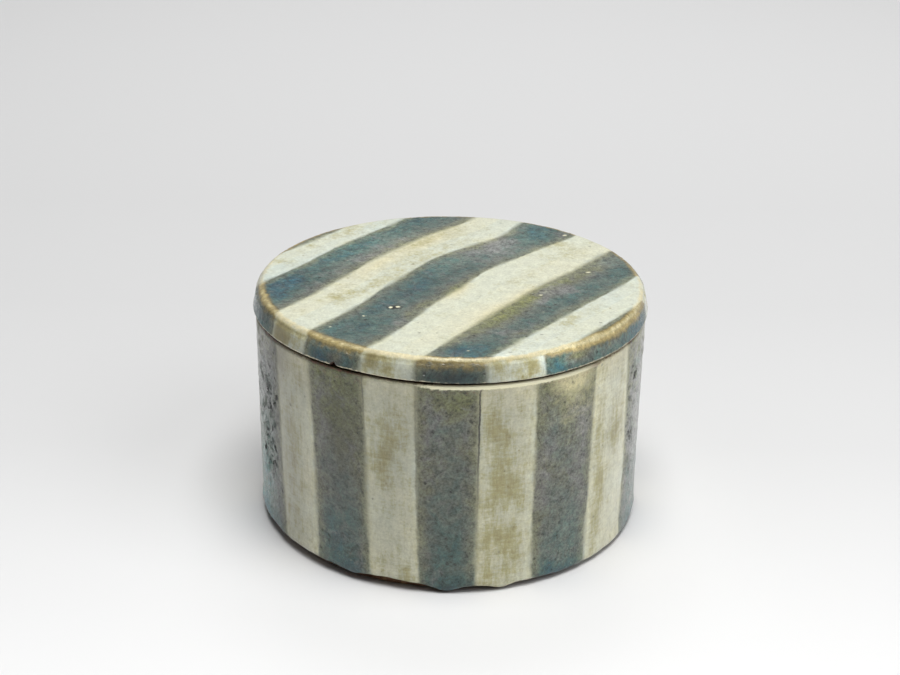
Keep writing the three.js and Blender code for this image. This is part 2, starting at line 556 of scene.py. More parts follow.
    def add(self, *terms: Feed) -> Socket:
        """Adds up values."""
        total = terms[0]
        for term in terms[1:]:
            total = self.math("ADD", total, term)
        return total

    def times(self, *factors: Feed) -> Socket:
        """Multiplies values."""
        total = factors[0]
        for factor in factors[1:]:
            total = self.math("MULTIPLY", total, factor)
        return total

    def slope(self, value: Feed, start: float, end: float, low: float = 0.0, high: float = 1.0) -> Socket:
        """Climbs smoothly from low at start to high at end.

        Args:
            value: The values to place on the climb.
            start: Where it begins.
            end: Where it ends, which may be below start.
            low: The result up to start.
            high: The result from end on.

        Returns:
            The result.
        """
        made = self.node("ShaderNodeMapRange", {"interpolation_type": "SMOOTHSTEP"}, {
            "Value": value, "From Min": start, "From Max": end, "To Min": low, "To Max": high,
        })
        return made.outputs["Result"]

    def tones(self, value: Feed, stops: Sequence[tuple[float, Colour]]) -> Socket:
        """A run of colours.

        Args:
            value: Where to read the run, from 0 to 1.
            stops: Places and colours in rising order.

        Returns:
            The colour.
        """
        made = self.node("ShaderNodeValToRGB", {}, {0: value})
        elements = made.color_ramp.elements
        while len(elements) < len(stops):
            elements.new(0.5)
        for element, (place, colour) in zip(elements, stops):
            element.position = place
            element.color = colour
        return made.outputs["Color"]

    def mix(self, share: Feed, first: Feed, second: Feed, blend: str = "MIX") -> Socket:
        """Lays the second colour over the first.

        Args:
            share: How much of the second shows, from 0 to 1.
            first: The colour below.
            second: The colour on top.
            blend: The way in which they mix.

        Returns:
            The colour.
        """
        made = self.node("ShaderNodeMix", {"data_type": "RGBA", "blend_type": blend, "clamp_factor": True},
                         {0: share, 6: first, 7: second})
        return made.outputs[2]

    def shaded(self, colour: Socket, value: Feed) -> Socket:
        """Makes a colour darker or lighter by a factor around 1."""
        factor = self.node("ShaderNodeCombineXYZ", {}, {0: value, 1: value, 2: value}).outputs[0]
        return self.mix(1.0, colour, factor, "MULTIPLY")

    def blend(self, share: Feed, first: Feed, second: Feed) -> Socket:
        """Goes from the first value to the second as the share goes from 0 to 1."""
        made = self.node("ShaderNodeMix", {"data_type": "FLOAT", "clamp_factor": True},
                         {0: share, 2: first, 3: second})
        return made.outputs[0]

    def bump(self, height: Feed, depth: float, below: Union[Socket, None] = None) -> Socket:
        """A relief too fine for the mesh.

        Args:
            height: The relief from 0 to 1.
            depth: What a height of 1 stands for, in millimetres.
            below: A coarser relief to lay it over.

        Returns:
            The bent normal.
        """
        inputs: Inputs = {"Height": height, "Distance": depth * MM, "Strength": 1.0}
        if below is not None:
            inputs["Normal"] = below
        return self.node("ShaderNodeBump", {}, inputs).outputs["Normal"]

    def finish(self, colour: Feed, roughness: Feed, normal: Union[Socket, None] = None, gloss: float = 0.5,
               coat: Feed = 0.0, coat_roughness: float = 0.1) -> bpy.types.Material:
        """Sets the shader.

        Args:
            colour: The surface's own colour.
            roughness: The surface's roughness.
            normal: The bent normal.
            gloss: The shader's specular level.
            coat: Share of a clear coat.
            coat_roughness: Roughness of that coat.

        Returns:
            The finished material.
        """
        self.feed(self.shader.inputs["Base Color"], colour)
        self.feed(self.shader.inputs["Roughness"], roughness)
        if normal is not None:
            self.feed(self.shader.inputs["Normal"], normal)
            self.feed(self.shader.inputs["Coat Normal"], normal)
        self.shader.inputs["Specular IOR Level"].default_value = gloss
        self.feed(self.shader.inputs["Coat Weight"], coat)
        self.shader.inputs["Coat Roughness"].default_value = coat_roughness
        return self.material


@dataclass(frozen=True)
class BareClay:
    """Unglazed brown stoneware, with grit and a darker skin where the fire touched it."""

    body: Colour = paint(116, 84, 58)
    flashed: Colour = paint(82, 56, 40)
    dusty: Colour = paint(146, 116, 84)
    grit: Colour = paint(48, 36, 28)
    roughness: float = 0.82

    def colour(self, recipe: Recipe) -> Socket:
        """Mixes the clay's colour.

        Args:
            recipe: The material to mix it in.

        Returns:
            The colour.
        """
        clouds = recipe.noise(14.0, 4.0, 0.6)
        tone = recipe.mix(recipe.slope(clouds, 0.38, 0.62), self.flashed, self.body)
        dust = recipe.slope(recipe.noise(5.0, 5.0, 0.65, shift=3.0), 0.52, 0.75)
        tone = recipe.mix(dust, tone, self.dusty)
        return recipe.mix(recipe.holes(2.0, 0.5, 0.06, 0.2, shift=1.0), tone, self.grit)

    def material(self) -> bpy.types.Material:
        """Makes the material."""
        recipe = Recipe(Slot.CLAY.value)
        grit = recipe.noise(0.7, 4.0, 0.7)
        height = recipe.add(grit, recipe.times(recipe.noise(2.5, 3.0, 0.6, shift=2.0), 0.8))
        return recipe.finish(self.colour(recipe), self.roughness, recipe.bump(height, 0.16), gloss=0.3)


@dataclass(frozen=True)
class InnerGlaze:
    """Plain cream glaze, a little greener where it pools, with iron specks and bare clay at its edge."""

    run: Tones = run_of(
        (0.1, 186, 160, 120), (0.35, 208, 204, 182), (0.62, 208, 204, 182), (1.0, 178, 190, 170),
    )
    speck: Colour = paint(112, 84, 54)
    roughness: float = 0.3
    clay: BareClay = BareClay()

    def material(self) -> bpy.types.Material:
        """Makes the material."""
        recipe = Recipe(Slot.INNER.value)
        pool = recipe.add(recipe.field(Field.POOL), recipe.uneven(18.0, 0.6, 4.0))
        colour = recipe.mix(recipe.holes(4.0, 0.35, 0.04, 0.14), recipe.tones(pool, self.run), self.speck)
        bare = recipe.bare(3.0, 3.0)
        colour = recipe.mix(bare, colour, self.clay.colour(recipe))
        height = recipe.add(recipe.noise(5.0, 3.0, 0.6), recipe.times(recipe.noise(0.9, 3.0), 0.2, bare))
        satin = recipe.blend(bare, self.roughness, self.clay.roughness)
        return recipe.finish(colour, satin, recipe.bump(height, 0.15))


@dataclass(frozen=True)
class StripedGlaze:
    """Dark and pale ash glazes side by side. The dark turns from olive to blue green with its depth."""

    dark: Tones = run_of(
        (0.0, 112, 114, 66), (0.18, 108, 112, 74), (0.36, 106, 108, 84), (0.5, 99, 105, 93),
        (0.62, 86, 100, 91), (0.74, 68, 94, 87), (0.86, 52, 88, 90), (1.0, 36, 80, 92),
    )
    # glaze broken thin over the lid's shoulder; its cream end is also a painted highlight along the front
    thin_dark: Tones = run_of(
        (0.0, 96, 95, 72), (0.35, 118, 108, 72), (0.65, 165, 149, 98), (1.0, 220, 209, 166),
    )
    pale: Tones = run_of(
        (0.0, 204, 196, 156), (0.2, 214, 208, 174), (0.4, 213, 211, 184),
        (0.6, 209, 211, 189), (0.85, 205, 210, 194), (1.0, 194, 205, 196),
    )
    # pale glaze thin over the shoulder, also a painted highlight along the front
    thin_pale: Colour = paint(222, 208, 160)
    haze: Colour = paint(116, 116, 113)
    # pale ash on dark glaze, also the painted sheen at the top of the wall's stripe at -55
    ash: Colour = paint(200, 192, 148)
    fringe: Colour = paint(124, 125, 96)
    stain: Colour = paint(172, 166, 118)
    deep_stain: Colour = paint(142, 127, 74)
    speck: Colour = paint(146, 146, 126)
    dark_lines_and_pit_shade: Colour = paint(30, 29, 26)
    # cream of worn edges, also used for painted highlights on the lit rim and in the lid's blisters
    worn: Colour = paint(246, 241, 206)
    worn_rust: Colour = paint(122, 84, 58)
    margin: Colour = paint(198, 194, 150)
    margin_cool: Colour = paint(196, 209, 203)
    pale_roughness: float = 0.36
    # clay darker than the foot's, for the bare places of wall and lid: partly the clay's own colour, partly
    # painted shade under the hanging lip
    clay: BareClay = BareClay(paint(92, 58, 40), paint(66, 42, 30), paint(120, 84, 60))

    def dark_colour(self, recipe: Recipe, pool: Socket, stripe: Socket, thin: Socket) -> Socket:
        """Mixes the dark glaze.

        Args:
            recipe: The material to mix it in.
            pool: How thick the glaze lies.
            stripe: Distance into the stripe in millimetres.
            thin: Where the glaze broke over an edge.

        Returns:
            The colour.
        """
        reach = recipe.add(stripe, recipe.uneven(5.0, 6.0, shift=15.0))
        depth = recipe.add(
            pool,
            recipe.uneven(10.0, 0.55, warp=0.8),
            recipe.uneven(2.4, 0.25, 4.0, 0.7, 0.3, shift=2.0),
            recipe.slope(reach, 2.0, 10.0, -0.05, 0.05),
        )
        colour = recipe.tones(depth, self.dark)
        clouds = recipe.uneven(10.0, 1.0, 4.0, 0.65, 0.6, shift=6.0)
        bloom = recipe.slope(recipe.add(clouds, recipe.times(recipe.field(Field.HAZE), 0.35)), 0.04, 0.3)
        colour = recipe.mix(recipe.times(bloom, 0.8), colour, self.haze)
        patchy = recipe.slope(recipe.noise(26.0, 2.0, shift=3.5), 0.34, 0.6, 0.25, 0.8)
        colour = recipe.mix(recipe.times(recipe.slope(reach, 6.0, 0.0), patchy), colour, self.fringe)
        specks = recipe.times(recipe.holes(1.7, 0.35, 0.05, 0.32, shift=2.0, edge=0.14), 0.24)
        colour = recipe.mix(specks, colour, self.speck)
        # Pale ash on the dark glaze; at the top of the wall's stripe at -55 it is a painted sheen.
        ash_and_sheen = recipe.add(recipe.field(Field.STAIN), recipe.uneven(4.0, 0.5, 4.0, 0.65, shift=22.0))
        ash_and_sheen = recipe.slope(ash_and_sheen, 0.2, 1.05, 0.0, 0.9)
        colour = recipe.mix(ash_and_sheen, colour, self.ash)
        colour = recipe.mix(recipe.slope(thin, 0.06, 0.44), colour, recipe.tones(thin, self.thin_dark))
        lively = recipe.add(
            recipe.uneven(1.2, 3.2, 5.0, 0.8, shift=4.0),
            recipe.times(recipe.holes(2.2, 0.4, 0.1, 0.42, shift=19.0, edge=0.13), -0.34),
            recipe.uneven(4.5, 1.9, 3.0, 0.66, 0.6, shift=16.0),
        )
        calm = recipe.slope(recipe.math("MAXIMUM", thin, ash_and_sheen), 0.06, 0.44, 1.0, 0.36)
        veins = recipe.veins(2.1, 0.055, 0.2, shift=18.0)
        return recipe.shaded(colour, recipe.add(1.0, recipe.times(lively, calm), veins))

    def pale_colour(self, recipe: Recipe, pool: Socket, stripe: Socket, thin: Socket) -> Socket:
        """Mixes the pale glaze.

        Args:
            recipe: The material to mix it in.
            pool: How thick the glaze lies.
            stripe: Distance into the dark stripe in millimetres, so negative here.
            thin: Where the glaze broke over an edge.

        Returns:
            The colour.
        """
        colour = recipe.tones(recipe.add(pool, recipe.uneven(16.0, 0.4, 5.0, shift=1.0)), self.pale)
        brushed = recipe.add(
            recipe.uneven(2.2, 1.7, 5.0, 0.74, stretch=(1.0, 1.0, 5.0), shift=9.0),
            recipe.uneven(1.6, 1.1, 4.0, 0.7, stretch=(4.0, 4.0, 1.0), shift=9.7),
            recipe.uneven(11.0, 1.15, 4.0, shift=10.0),
        )
        stain = recipe.add(recipe.field(Field.STAIN), brushed)
        colour = recipe.mix(recipe.slope(stain, 0.0, 0.9, 0.0, 0.95), colour, self.stain)
        colour = recipe.mix(recipe.slope(stain, 0.55, 1.5, 0.0, 0.68), colour, self.deep_stain)
        coolness = recipe.slope(recipe.add(pool, recipe.uneven(12.0, 1.6, 2.0, shift=8.0)), 0.45, 0.85)
        near = recipe.slope(stripe, -3.4, -0.3, 0.0, 0.32)
        colour = recipe.mix(near, colour, recipe.mix(coolness, self.margin, self.margin_cool))
        specks = recipe.times(recipe.holes(4.2, 0.35, 0.03, 0.12, shift=5.5), 0.6)
        colour = recipe.mix(specks, colour, self.deep_stain)
        colour = recipe.mix(recipe.slope(thin, 0.3, 0.85, 0.0, 0.75), colour, self.thin_pale)
        shade = recipe.add(
            1.0,
            recipe.uneven(1.2, 0.8, 4.0, 0.75, shift=5.0),
            recipe.veins(3.2, 0.03, 0.06, shift=20.0),
            recipe.uneven(5.0, 0.45, shift=21.0),
        )
        return recipe.shaded(colour, shade)

    def material(self) -> bpy.types.Material:
        """Makes the material."""
        recipe = Recipe(Slot.STRIPED.value)
        pool = recipe.field(Field.POOL)
        wobble = recipe.add(recipe.uneven(6.0, 1.3, 2.0, shift=7.0), recipe.uneven(1.4, 0.8, shift=7.5))
        stripe = recipe.add(recipe.field(Field.STRIPE), wobble)
        thin = recipe.add(recipe.field(Field.THIN), recipe.uneven(3.0, 0.75, shift=17.0))
        vague = recipe.add(recipe.times(pool, 0.25), recipe.uneven(20.0, 1.0, 2.0, shift=23.0))
        soft = recipe.slope(vague, 0.0, 0.26, 2.4, 0.8)
        is_dark = recipe.slope(recipe.math("DIVIDE", stripe, soft), -1.0, 1.0)
        colour = recipe.mix(is_dark, self.pale_colour(recipe, pool, stripe, thin),
                            self.dark_colour(recipe, pool, stripe, thin))
        # The glaze's own tone, with painted shade and painted light, from the vertex field.
        colour = recipe.shaded(colour, recipe.field(Field.TONE_AND_LIGHT))
        beside = recipe.slope(recipe.math("ABSOLUTE", stripe), 0.7, 0.1)
        colour = recipe.mix(recipe.times(beside, recipe.field(Field.LINE)), colour, self.dark_lines_and_pit_shade)
        # Worn edges, with painted highlights: the cream of the wall's lit rim and the glints in the lid's
        # blisters.
        ragged = recipe.add(recipe.field(Field.WEAR_AND_HIGHLIGHT), recipe.uneven(1.8, 1.0, 4.0))
        worn = recipe.mix(recipe.field(Field.RUST), self.worn, self.worn_rust)
        colour = recipe.mix(recipe.slope(ragged, 0.25, 0.7), colour, worn)

        pitted = recipe.field(Field.PITTED)
        share = recipe.math("SUBTRACT", recipe.times(pitted, 0.7), 0.1)
        craters = recipe.holes(2.7, share, 0.18, 0.5, 1.3, 4.0, warp=0.6)
        pinholes = recipe.holes(2.8, recipe.add(0.04, pitted), 0.06, 0.26, 1.1, 4.6, edge=0.1)
        dug = recipe.slope(recipe.field(Field.PIT), 0.25, 0.8)
        hole = recipe.math("MAXIMUM", recipe.times(craters, 0.9), recipe.times(dug, 0.9))
        hole = recipe.math("MAXIMUM", hole, recipe.times(pinholes, recipe.blend(is_dark, 0.3, 0.6)))
        # The insides of pits, craters and pinholes are painted dark as shade in their hollows.
        colour = recipe.mix(hole, colour, self.dark_lines_and_pit_shade)
        bare = recipe.bare(1.6, 4.0)
        colour = recipe.mix(bare, colour, self.clay.colour(recipe))

        dark_satin = recipe.slope(recipe.noise(3.0, 4.0, 0.6, shift=12.0), 0.35, 0.65, 0.3, 0.5)
        satin = recipe.blend(is_dark, self.pale_roughness, dark_satin)
        roughness = recipe.blend(bare, satin, self.clay.roughness)
        rough_skin = recipe.blend(is_dark, 0.36, recipe.slope(thin, 0.15, 0.5, 1.0, 0.45))
        coarse = recipe.bump(recipe.times(recipe.noise(2.4, 4.0, 0.66, 0.5, shift=13.0), rough_skin), 0.65)
        sunk = recipe.bump(recipe.math("MAXIMUM", craters, recipe.times(pinholes, 0.4)), -0.9, coarse)
        fine = recipe.bump(recipe.times(recipe.noise(0.7, 3.0, 0.7, shift=14.0), rough_skin), 0.12, sunk)
        skin = recipe.times(recipe.field(Field.SKIN), recipe.slope(hole, 0.2, 0.9, 1.0, 0.1))
        return recipe.finish(colour, roughness, fine, gloss=0.2, coat=skin, coat_roughness=0.14)


@dataclass(frozen=True)
class Ground:
    """The floor of the studio, a pale paper a little greyer round the box than in front and behind: the grey
    is painted shade.
    """

    tones: Tones = run_of(
        (-200.0, 234, 234, 234), (-100.0, 226, 226, 226), (50.0, 215, 215, 215), (250.0, 211, 211, 211),
        (450.0, 213, 213, 213), (900.0, 226, 226, 226), (1300.0, 237, 237, 237), (1500.0, 245, 245, 245),
    )

    def material(self) -> bpy.types.Material:
        """Makes the material."""
        recipe = Recipe("studio_floor")
        place = recipe.node("ShaderNodeSeparateXYZ", {}, {0: recipe.places})
        first, last = self.tones[0][0], self.tones[-1][0]
        share = recipe.node("ShaderNodeMapRange", {}, {
            "Value": place.outputs["Y"], "From Min": first * MM, "From Max": last * MM,
        }).outputs["Result"]
        stops = [((at - first) / (last - first), colour) for at, colour in self.tones]
        return recipe.finish(recipe.tones(share, stops), 0.9, gloss=0.0)


def polar(points: np.ndarray) -> tuple[np.ndarray, np.ndarray]:
    """The angle in degrees and the radius of each point round the upright axis."""
    return np.degrees(np.arctan2(points[:, 1], points[:, 0])), np.hypot(points[:, 0], points[:, 1])


def verts_of(bm: bmesh.types.BMesh) -> np.ndarray:
    """Every vertex of a bmesh, one row each."""
    return np.array([tuple(v.co) for v in bm.verts], float)


def place_verts(bm: bmesh.types.BMesh, points: np.ndarray) -> None:
    """Moves every vertex of a bmesh to its row."""
    for vert, point in zip(bm.verts, points.tolist()):
        vert.co = point


def turned_ring(outline: Sequence[tuple[float, float]], around: int, step: float,
                rounding: dict[int, tuple[float, int]], fine: Sequence[int] = ()) -> bmesh.types.BMesh:
    """Spins a closed outline about the upright axis.

    Args:
        outline: Corners as radius and height in millimetres, one after another round the section.
        around: Facets round the ring.
        step: Longest edge left on a fine side of the outline.
        rounding: For a corner's index, the radius and the number of segments that round it.
        fine: Indices of the corners whose following side is cut into short steps.

    Returns:
        The ring, closed, with its faces pointing out.
    """
    bm = bmesh.new()
    corners = [bm.verts.new((radius, 0.0, height)) for radius, height in outline]
    ends = corners[1:] + corners[:1]
    for start, end in zip(corners, ends):
        bm.edges.new((start, end))
    middles = [(corners[i].co + ends[i].co) / 2 for i in fine]
    for index, (radius, segments) in rounding.items():
        bmesh.ops.bevel(bm, geom=[corners[index]], offset=radius, offset_type="OFFSET", segments=segments,
                        profile=0.5, affect="VERTICES", material=-1)
    for middle in middles:
        side = min(bm.edges, key=lambda edge: ((edge.verts[0].co + edge.verts[1].co) / 2 - middle).length)
        cuts = max(1, round(side.calc_length() / step)) - 1
        if cuts:
            bmesh.ops.subdivide_edges(bm, edges=[side], cuts=cuts)
    section = list(bm.verts) + list(bm.edges)
    bmesh.ops.spin(bm, geom=section, cent=(0, 0, 0), axis=(0, 0, 1), angle=math.tau / 8, steps=around // 8)
    for turn in (math.tau / 8, math.tau / 4, math.tau / 2):
        copy = bmesh.ops.duplicate(bm, geom=bm.verts[:] + bm.edges[:] + bm.faces[:])["geom"]
        moved = [item for item in copy if isinstance(item, bmesh.types.BMVert)]
        bmesh.ops.rotate(bm, verts=moved, cent=(0, 0, 0), matrix=Matrix.Rotation(turn, 3, "Z"))
    bmesh.ops.remove_doubles(bm, verts=bm.verts, dist=WELD)
    bmesh.ops.recalc_face_normals(bm, faces=bm.faces)
    return bm


def second_finish(bm: bmesh.types.BMesh, where: Callable[[Vector], bool]) -> None:
    """Gives the faces whose middle passes a test the second of a piece's two finishes."""
    for face in bm.faces:
        face.material_index = int(where(face.calc_center_median()))


class Sculpture:
    """A mesh on its way to becoming a piece: its shape, its attributes, its finish and what it rides on."""

    def __init__(self, name: str, bm: bmesh.types.BMesh) -> None:
        """Takes over a bmesh in millimetres.

        Args:
            name: The piece's name.
            bm: Its shape.
        """
        self.name = name
        self.bm = bm
        self.fields: dict[Field, np.ndarray] = {}

    def push(self, height: np.ndarray) -> None:
        """Moves the surface in or out along its normals.

        Args:
            height: How far each vertex moves outwards, in millimetres.
        """
        self.bm.normal_update()
        outward = np.array([tuple(v.normal) for v in self.bm.verts], float)
        place_verts(self.bm, verts_of(self.bm) + outward * height[:, None])

    def complete(self, finishes: Sequence[bpy.types.Material], body: str,
                 replaced: Sequence[str]) -> bpy.types.Object:
        """Makes the object.

        Args:
            finishes: Materials, in the order of the faces' indices.
            body: The body that the piece rides on.
            replaced: The nodes that it stands for.

        Returns:
            The object, at the origin, with its place in its mesh.
        """
        bmesh.ops.scale(self.bm, vec=(MM, MM, MM), verts=self.bm.verts)
        for face in self.bm.faces:
            face.smooth = True
        mesh = bpy.data.meshes.new(self.name)
        self.bm.to_mesh(mesh)
        self.bm.free()
        for name, values in self.fields.items():
            attribute = mesh.attributes.new(name.value, "FLOAT", "POINT")
            attribute.data.foreach_set("value", values.astype(np.float32))
        for finish in finishes:
            mesh.materials.append(finish)
        piece = bpy.data.objects.new(self.name, mesh)
        bpy.context.scene.collection.objects.link(piece)
        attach(piece, body)
        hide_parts(*replaced)
        LOG.info("%s: %d vertices, rides on %s, stands for %s",
                 self.name, len(mesh.vertices), body, ", ".join(replaced))
        return piece


def corner(node: str, which: int) -> Vector:
    """The lowest (0) or highest (1) corner of a node at rest, in millimetres."""
    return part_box(node)[which] / MM


@dataclass(frozen=True)
class Seam:
    """The joint between lid and wall, which wanders up and down and gapes more at the left."""

    angles: tuple[float, ...] = (-180.0, -165.0, -150.0, -135.0, -120.0, -105.0, -90.0, -75.0, -60.0, -45.0,
                                 -20.0, 20.0, 70.0, 120.0, 160.0, 180.0)
    lift: tuple[float, ...] = (-0.4, -0.3, 0.3, 0.5, 0.65, 0.1, -0.5, -0.7, -0.9, -0.85,
                               -0.5, 0.1, 0.3, -0.2, -0.4, -0.4)
    gape: tuple[float, ...] = (1.3, 1.5, 1.6, 1.6, 1.5, 1.5, 1.4, 1.5, 1.4, 1.2,
                               1.0, 0.9, 1.0, 1.2, 1.3, 1.3)

    def lid_edge(self, angle: np.ndarray) -> np.ndarray:
        """How far the lid's lower edge lies above its mean height, in millimetres."""
        return flowing(self.angles, self.lift, turn_between(angle, 0.0))

    def rim_drop(self, angle: np.ndarray, gap: float) -> np.ndarray:
        """How far the rim's outer part lies below the seat, given the gap from the seat to the lid."""
        return flowing(self.angles, self.gape, turn_between(angle, 0.0)) - gap - self.lid_edge(angle)


@dataclass
class Wall:
    """The upright wall with its rim, its glazed outside and the lip that hangs outside the foot."""

    radius: float = field(default_factory=lambda: corner("wall", 1).x)
    rim: float = field(default_factory=lambda: corner("wall", 1).z)
    seat: float = field(default_factory=lambda: corner("lid_skirt", 0).z)
    underside: float = field(default_factory=lambda: corner("floor_slab", 0).z)
    thickness: float = 7.0
    lip: float = 3.4
    lip_slope: float = 0.7  # share of the lip that its underside slopes over
    edge_hang: float = 2.3
    edge_tilt: float = 1.6
    ledge: float = 3.2  # width of the rim's outer part, which lies lower than the seat of the lid
    ledge_slope: float = 1.0
    rim_rounding: float = 1.7
    edge_rounding: float = 1.5
    lip_rounding: float = 0.8
    inner_rings: tuple[float, ...] = (62.0, 28.0)  # heights of the rings of vertices down the inside
    edge_reach: float = 18.0  # how far up the waves of the lower edge reach
    rim_reach: float = 9.0  # how far down the dip of the rim's outer part reaches
    around: int = 720
    step: float = 1.1
    kinds: tuple[tuple[float, int], ...] = ((42.0, 2), (9.0, 2), (2.8, 2), (24.0, 2))
    waves: float = 0.24  # how high the waves of the surface, its lumps and its skin stand
    lumps: float = 0.07
    skin: float = 0.06
    dip: Bump = Bump(0.0, 0.6, 0.11)  # along the edge of a stripe
    roll: Bump = Bump(3.0, 3.2, 0.55)  # of thick glaze over the lower edge
    front: Bump = Bump(-80.0, 38.0)  # the side where the rim leans out and its worn edge is cream, there partly a painted highlight
    flare: Climb = Climb(4.0, 1.2, 0.6)  # below the rim, how far it leans out there
    outer: Climb = Climb(2.0, 0.6)  # from the outside inwards, where the outer surface ends
    dark_edge: Climb = Climb(-0.4, 0.8)  # into a dark stripe
    pit_margin: Climb = Climb(0.6, 2.2)  # into a dark stripe, where its pits begin
    pit_top: Climb = Climb(2.0, 6.0)  # below the rim, where the pits begin
    thin_rim: Climb = Climb(18.0, 1.0, 0.2)  # below the rim, how much thinner the glaze lies
    thick_edge: Climb = Climb(12.0, 1.0, 0.2)  # above the lower edge, how much thicker
    thick_foot: Climb = Climb(50.0, 15.0, 0.12)  # above the table, how much thicker
    lit: Bump = Bump(-71.0, 30.0)  # the side where the light falls on the rim, so its worn edge is cream there, partly a painted highlight
    lit_share: Climb = Climb(0.3, 0.62)
    cream: Bump = Bump(0.85, 0.85, 1.05)  # below the rim, how worn its cream edge is, on the lit side partly a painted highlight
    brown: Bump = Bump(0.5, 0.4, 0.5)  # below the rim, how worn its brown edge is
    brown_shadow: Bump = Bump(2.8, 2.6, 0.3)  # and the dark glaze under it
    worn_to: Climb = Climb(2.4, 1.0)  # from the outside inwards, where the wear ends
    dull_rim: Bump = Bump(0.0, 4.5)  # below the rim, where the glaze is dull
    dull_side: Bump = Bump(-169.0, 10.0, 0.75)  # the side where it is dull
    bubbles: Pits = Pits(per_square_centimetre=11.0, smallest=0.8, largest=2.1, depth=0.7)
    seam: Seam = Seam()
    runs: tuple[Bump, ...] = (  # drops of the lower edge where the glaze ran
        Bump(-118.0, 3.4, 1.1), Bump(-106.0, 9.0, -1.1), Bump(-90.6, 4.0, 2.4), Bump(-74.6, 3.6, 1.8),
        Bump(-52.0, 14.0, 0.6), Bump(22.0, 5.0, 0.9), Bump(71.0, 4.0, 1.7), Bump(128.0, 4.5, 2.3),
        Bump(163.0, 5.0, 1.2),
    )
    stripes: WallStripes = WallStripes()
    # The first two stains, at the top of the dark stripe at -55, are a painted sheen; the rest are tan stains
    # on the pale glaze.
    stains: tuple[Patch, ...] = patches(
        (-54.5, 103, 7, 7.5, 1.1), (-53, 88, 9.5, 14, 0.3), (-139, 45, 6, 32, 0.34), (-141, 14, 5, 12, 0.2),
        (-136.5, 94, 2, 5, 0.4), (-143, 96, 3, 5, 0.25), (-108.5, 66, 3, 16, 0.62),
        (-103.5, 71, 2.5, 9, 0.4), (-105, 88, 5, 10, 0.25), (-103, 24, 3.5, 8, 0.15),
        (-108, 12, 3.5, 8, 0.25), (-101.5, 8, 2.8, 6, 0.6), (-78.5, 87, 2.8, 14, 0.6),
        (-74, 76, 2.5, 16, 0.3), (-76, 52, 5, 15, 0.68), (-70, 56, 2.2, 36, 0.3),
        (-79.5, 28, 2.2, 12, 0.35), (-75, 28, 6, 7, 0.42), (-73, 14, 4, 14, 0.5), (-79.5, 8, 2.4, 9, 0.6),
        (-42, 40, 2.6, 14, 0.7), (-42.5, 22, 2.6, 12, 0.5), (-43.5, 70, 2.5, 30, 0.35),
        (-35, 66, 4.2, 10, 0.75), (-32.5, 95, 2, 8, 0.4), (-44, 8, 2, 10, 0.3), (0, 60, 5, 30, 0.45),
        (36, 40, 5, 24, 0.5), (72, 70, 5, 22, 0.45), (110, 36, 6, 26, 0.5), (146, 60, 4, 30, 0.45),
        (178, 40, 5, 24, 0.4),
    )
    # The first pool, at the top of the dark stripe at -55, thins the glaze to olive as part of the painted
    # sheen there.
    pools: tuple[Patch, ...] = patches(
        (-55, 96, 8.5, 16, -0.2), (-122, 90, 7, 18, -0.38), (-120, 60, 5, 12, -0.05),
        (-124, 26, 7, 14, 0.16), (-90, 96, 9, 8, -0.2), (-90, 26, 6, 14, 0.12), (-160, 30, 8, 22, 0.2),
        (-157, 80, 8, 20, 0.1), (-18, 20, 8, 16, 0.1),
    )
    # The mark at -18 greys the dark stripe there partly as painted reflection; the rest are grey bloom.
    hazes: tuple[Patch, ...] = patches(
        (-128, 80, 4, 18, 0.5), (-97, 84, 5, 20, 0.5), (-64, 60, 4, 30, 0.5), (-50, 60, 4, 30, 0.5),
        (-18, 60, 12, 40, 0.7), (-152, 80, 4, 20, 0.3),
    )
    pit_fields: tuple[Patch, ...] = patches(
        (-156, 84, 5, 7, 1.2), (-153, 72, 4, 9, 1), (-158, 61, 5, 6, 0.9), (-156, 45, 6, 8, 1.2),
        (-154, 33, 5, 5, 0.8), (-24.5, 83, 3.5, 7, 0.9), (-23, 70, 3, 5, 0.6), (-24.5, 54, 3, 6, 0.8),
        (-23, 37, 4, 6, 1), (18, 60, 9, 24, 0.6), (55, 40, 8, 20, 0.5), (128, 70, 8, 24, 0.6),
        (163, 50, 8, 26, 0.8),
    )
    # Marks on the glaze's colour. Most are its own tone, but some are painted light: the low left of the dark
    # stripe at -166 to -156 and the dark stripe at -18 are lightened as painted reflection, the stripes on
    # the left and front at -141, -121 and -106 are darkened partly as painted shade, and the top of the
    # stripe at -55 is lightened as a painted sheen.
    shades: tuple[Patch, ...] = patches(
        (-166, 8, 8, 30, 1.7), (-164, 44, 6, 18, 0.8), (-156, 26, 4, 28, 0.42), (-149, 60, 3, 70, -0.16),
        (-150, 100, 6, 14, -0.27), (-149, 20, 3, 10, -0.14), (-141, 50, 8, 90, -0.4),
        (-145, 100, 4, 12, -0.2), (-134, 92, 4, 8, -0.16), (-121, 60, 6, 60, -0.2), (-106, 60, 7, 70, -0.3),
        (-90, 34, 5, 36, -0.1), (-90, 4, 9, 10, -0.12), (-74, 90, 8, 26, -0.22), (-74, 40, 8, 40, -0.08),
        (-55, 86, 10, 20, 0.42), (-71, 103, 4, 6, 0.14), (-35, 62, 4, 10, -0.08),
        (-100.5, 84, 3, 24, -0.12), (-106, 97, 8, 10, -0.06), (-122, 82, 8, 24, -0.2),
        (-53, 24, 7, 20, 0.2), (-18, 30, 10, 60, 0.6), (-17, 86, 10, 36, 1.1), (-32, 94, 4, 12, -0.1),
        (-34, 68, 5, 10, -0.1), (-45, 102, 2.5, 5, 0.12),
    )
    lines: tuple[Patch, ...] = patches(
        (-81.8, 88, 3, 34, 0.95), (-114, 98, 2, 16, 0.5), (-99.4, 70, 2, 60, 0.25),
    )

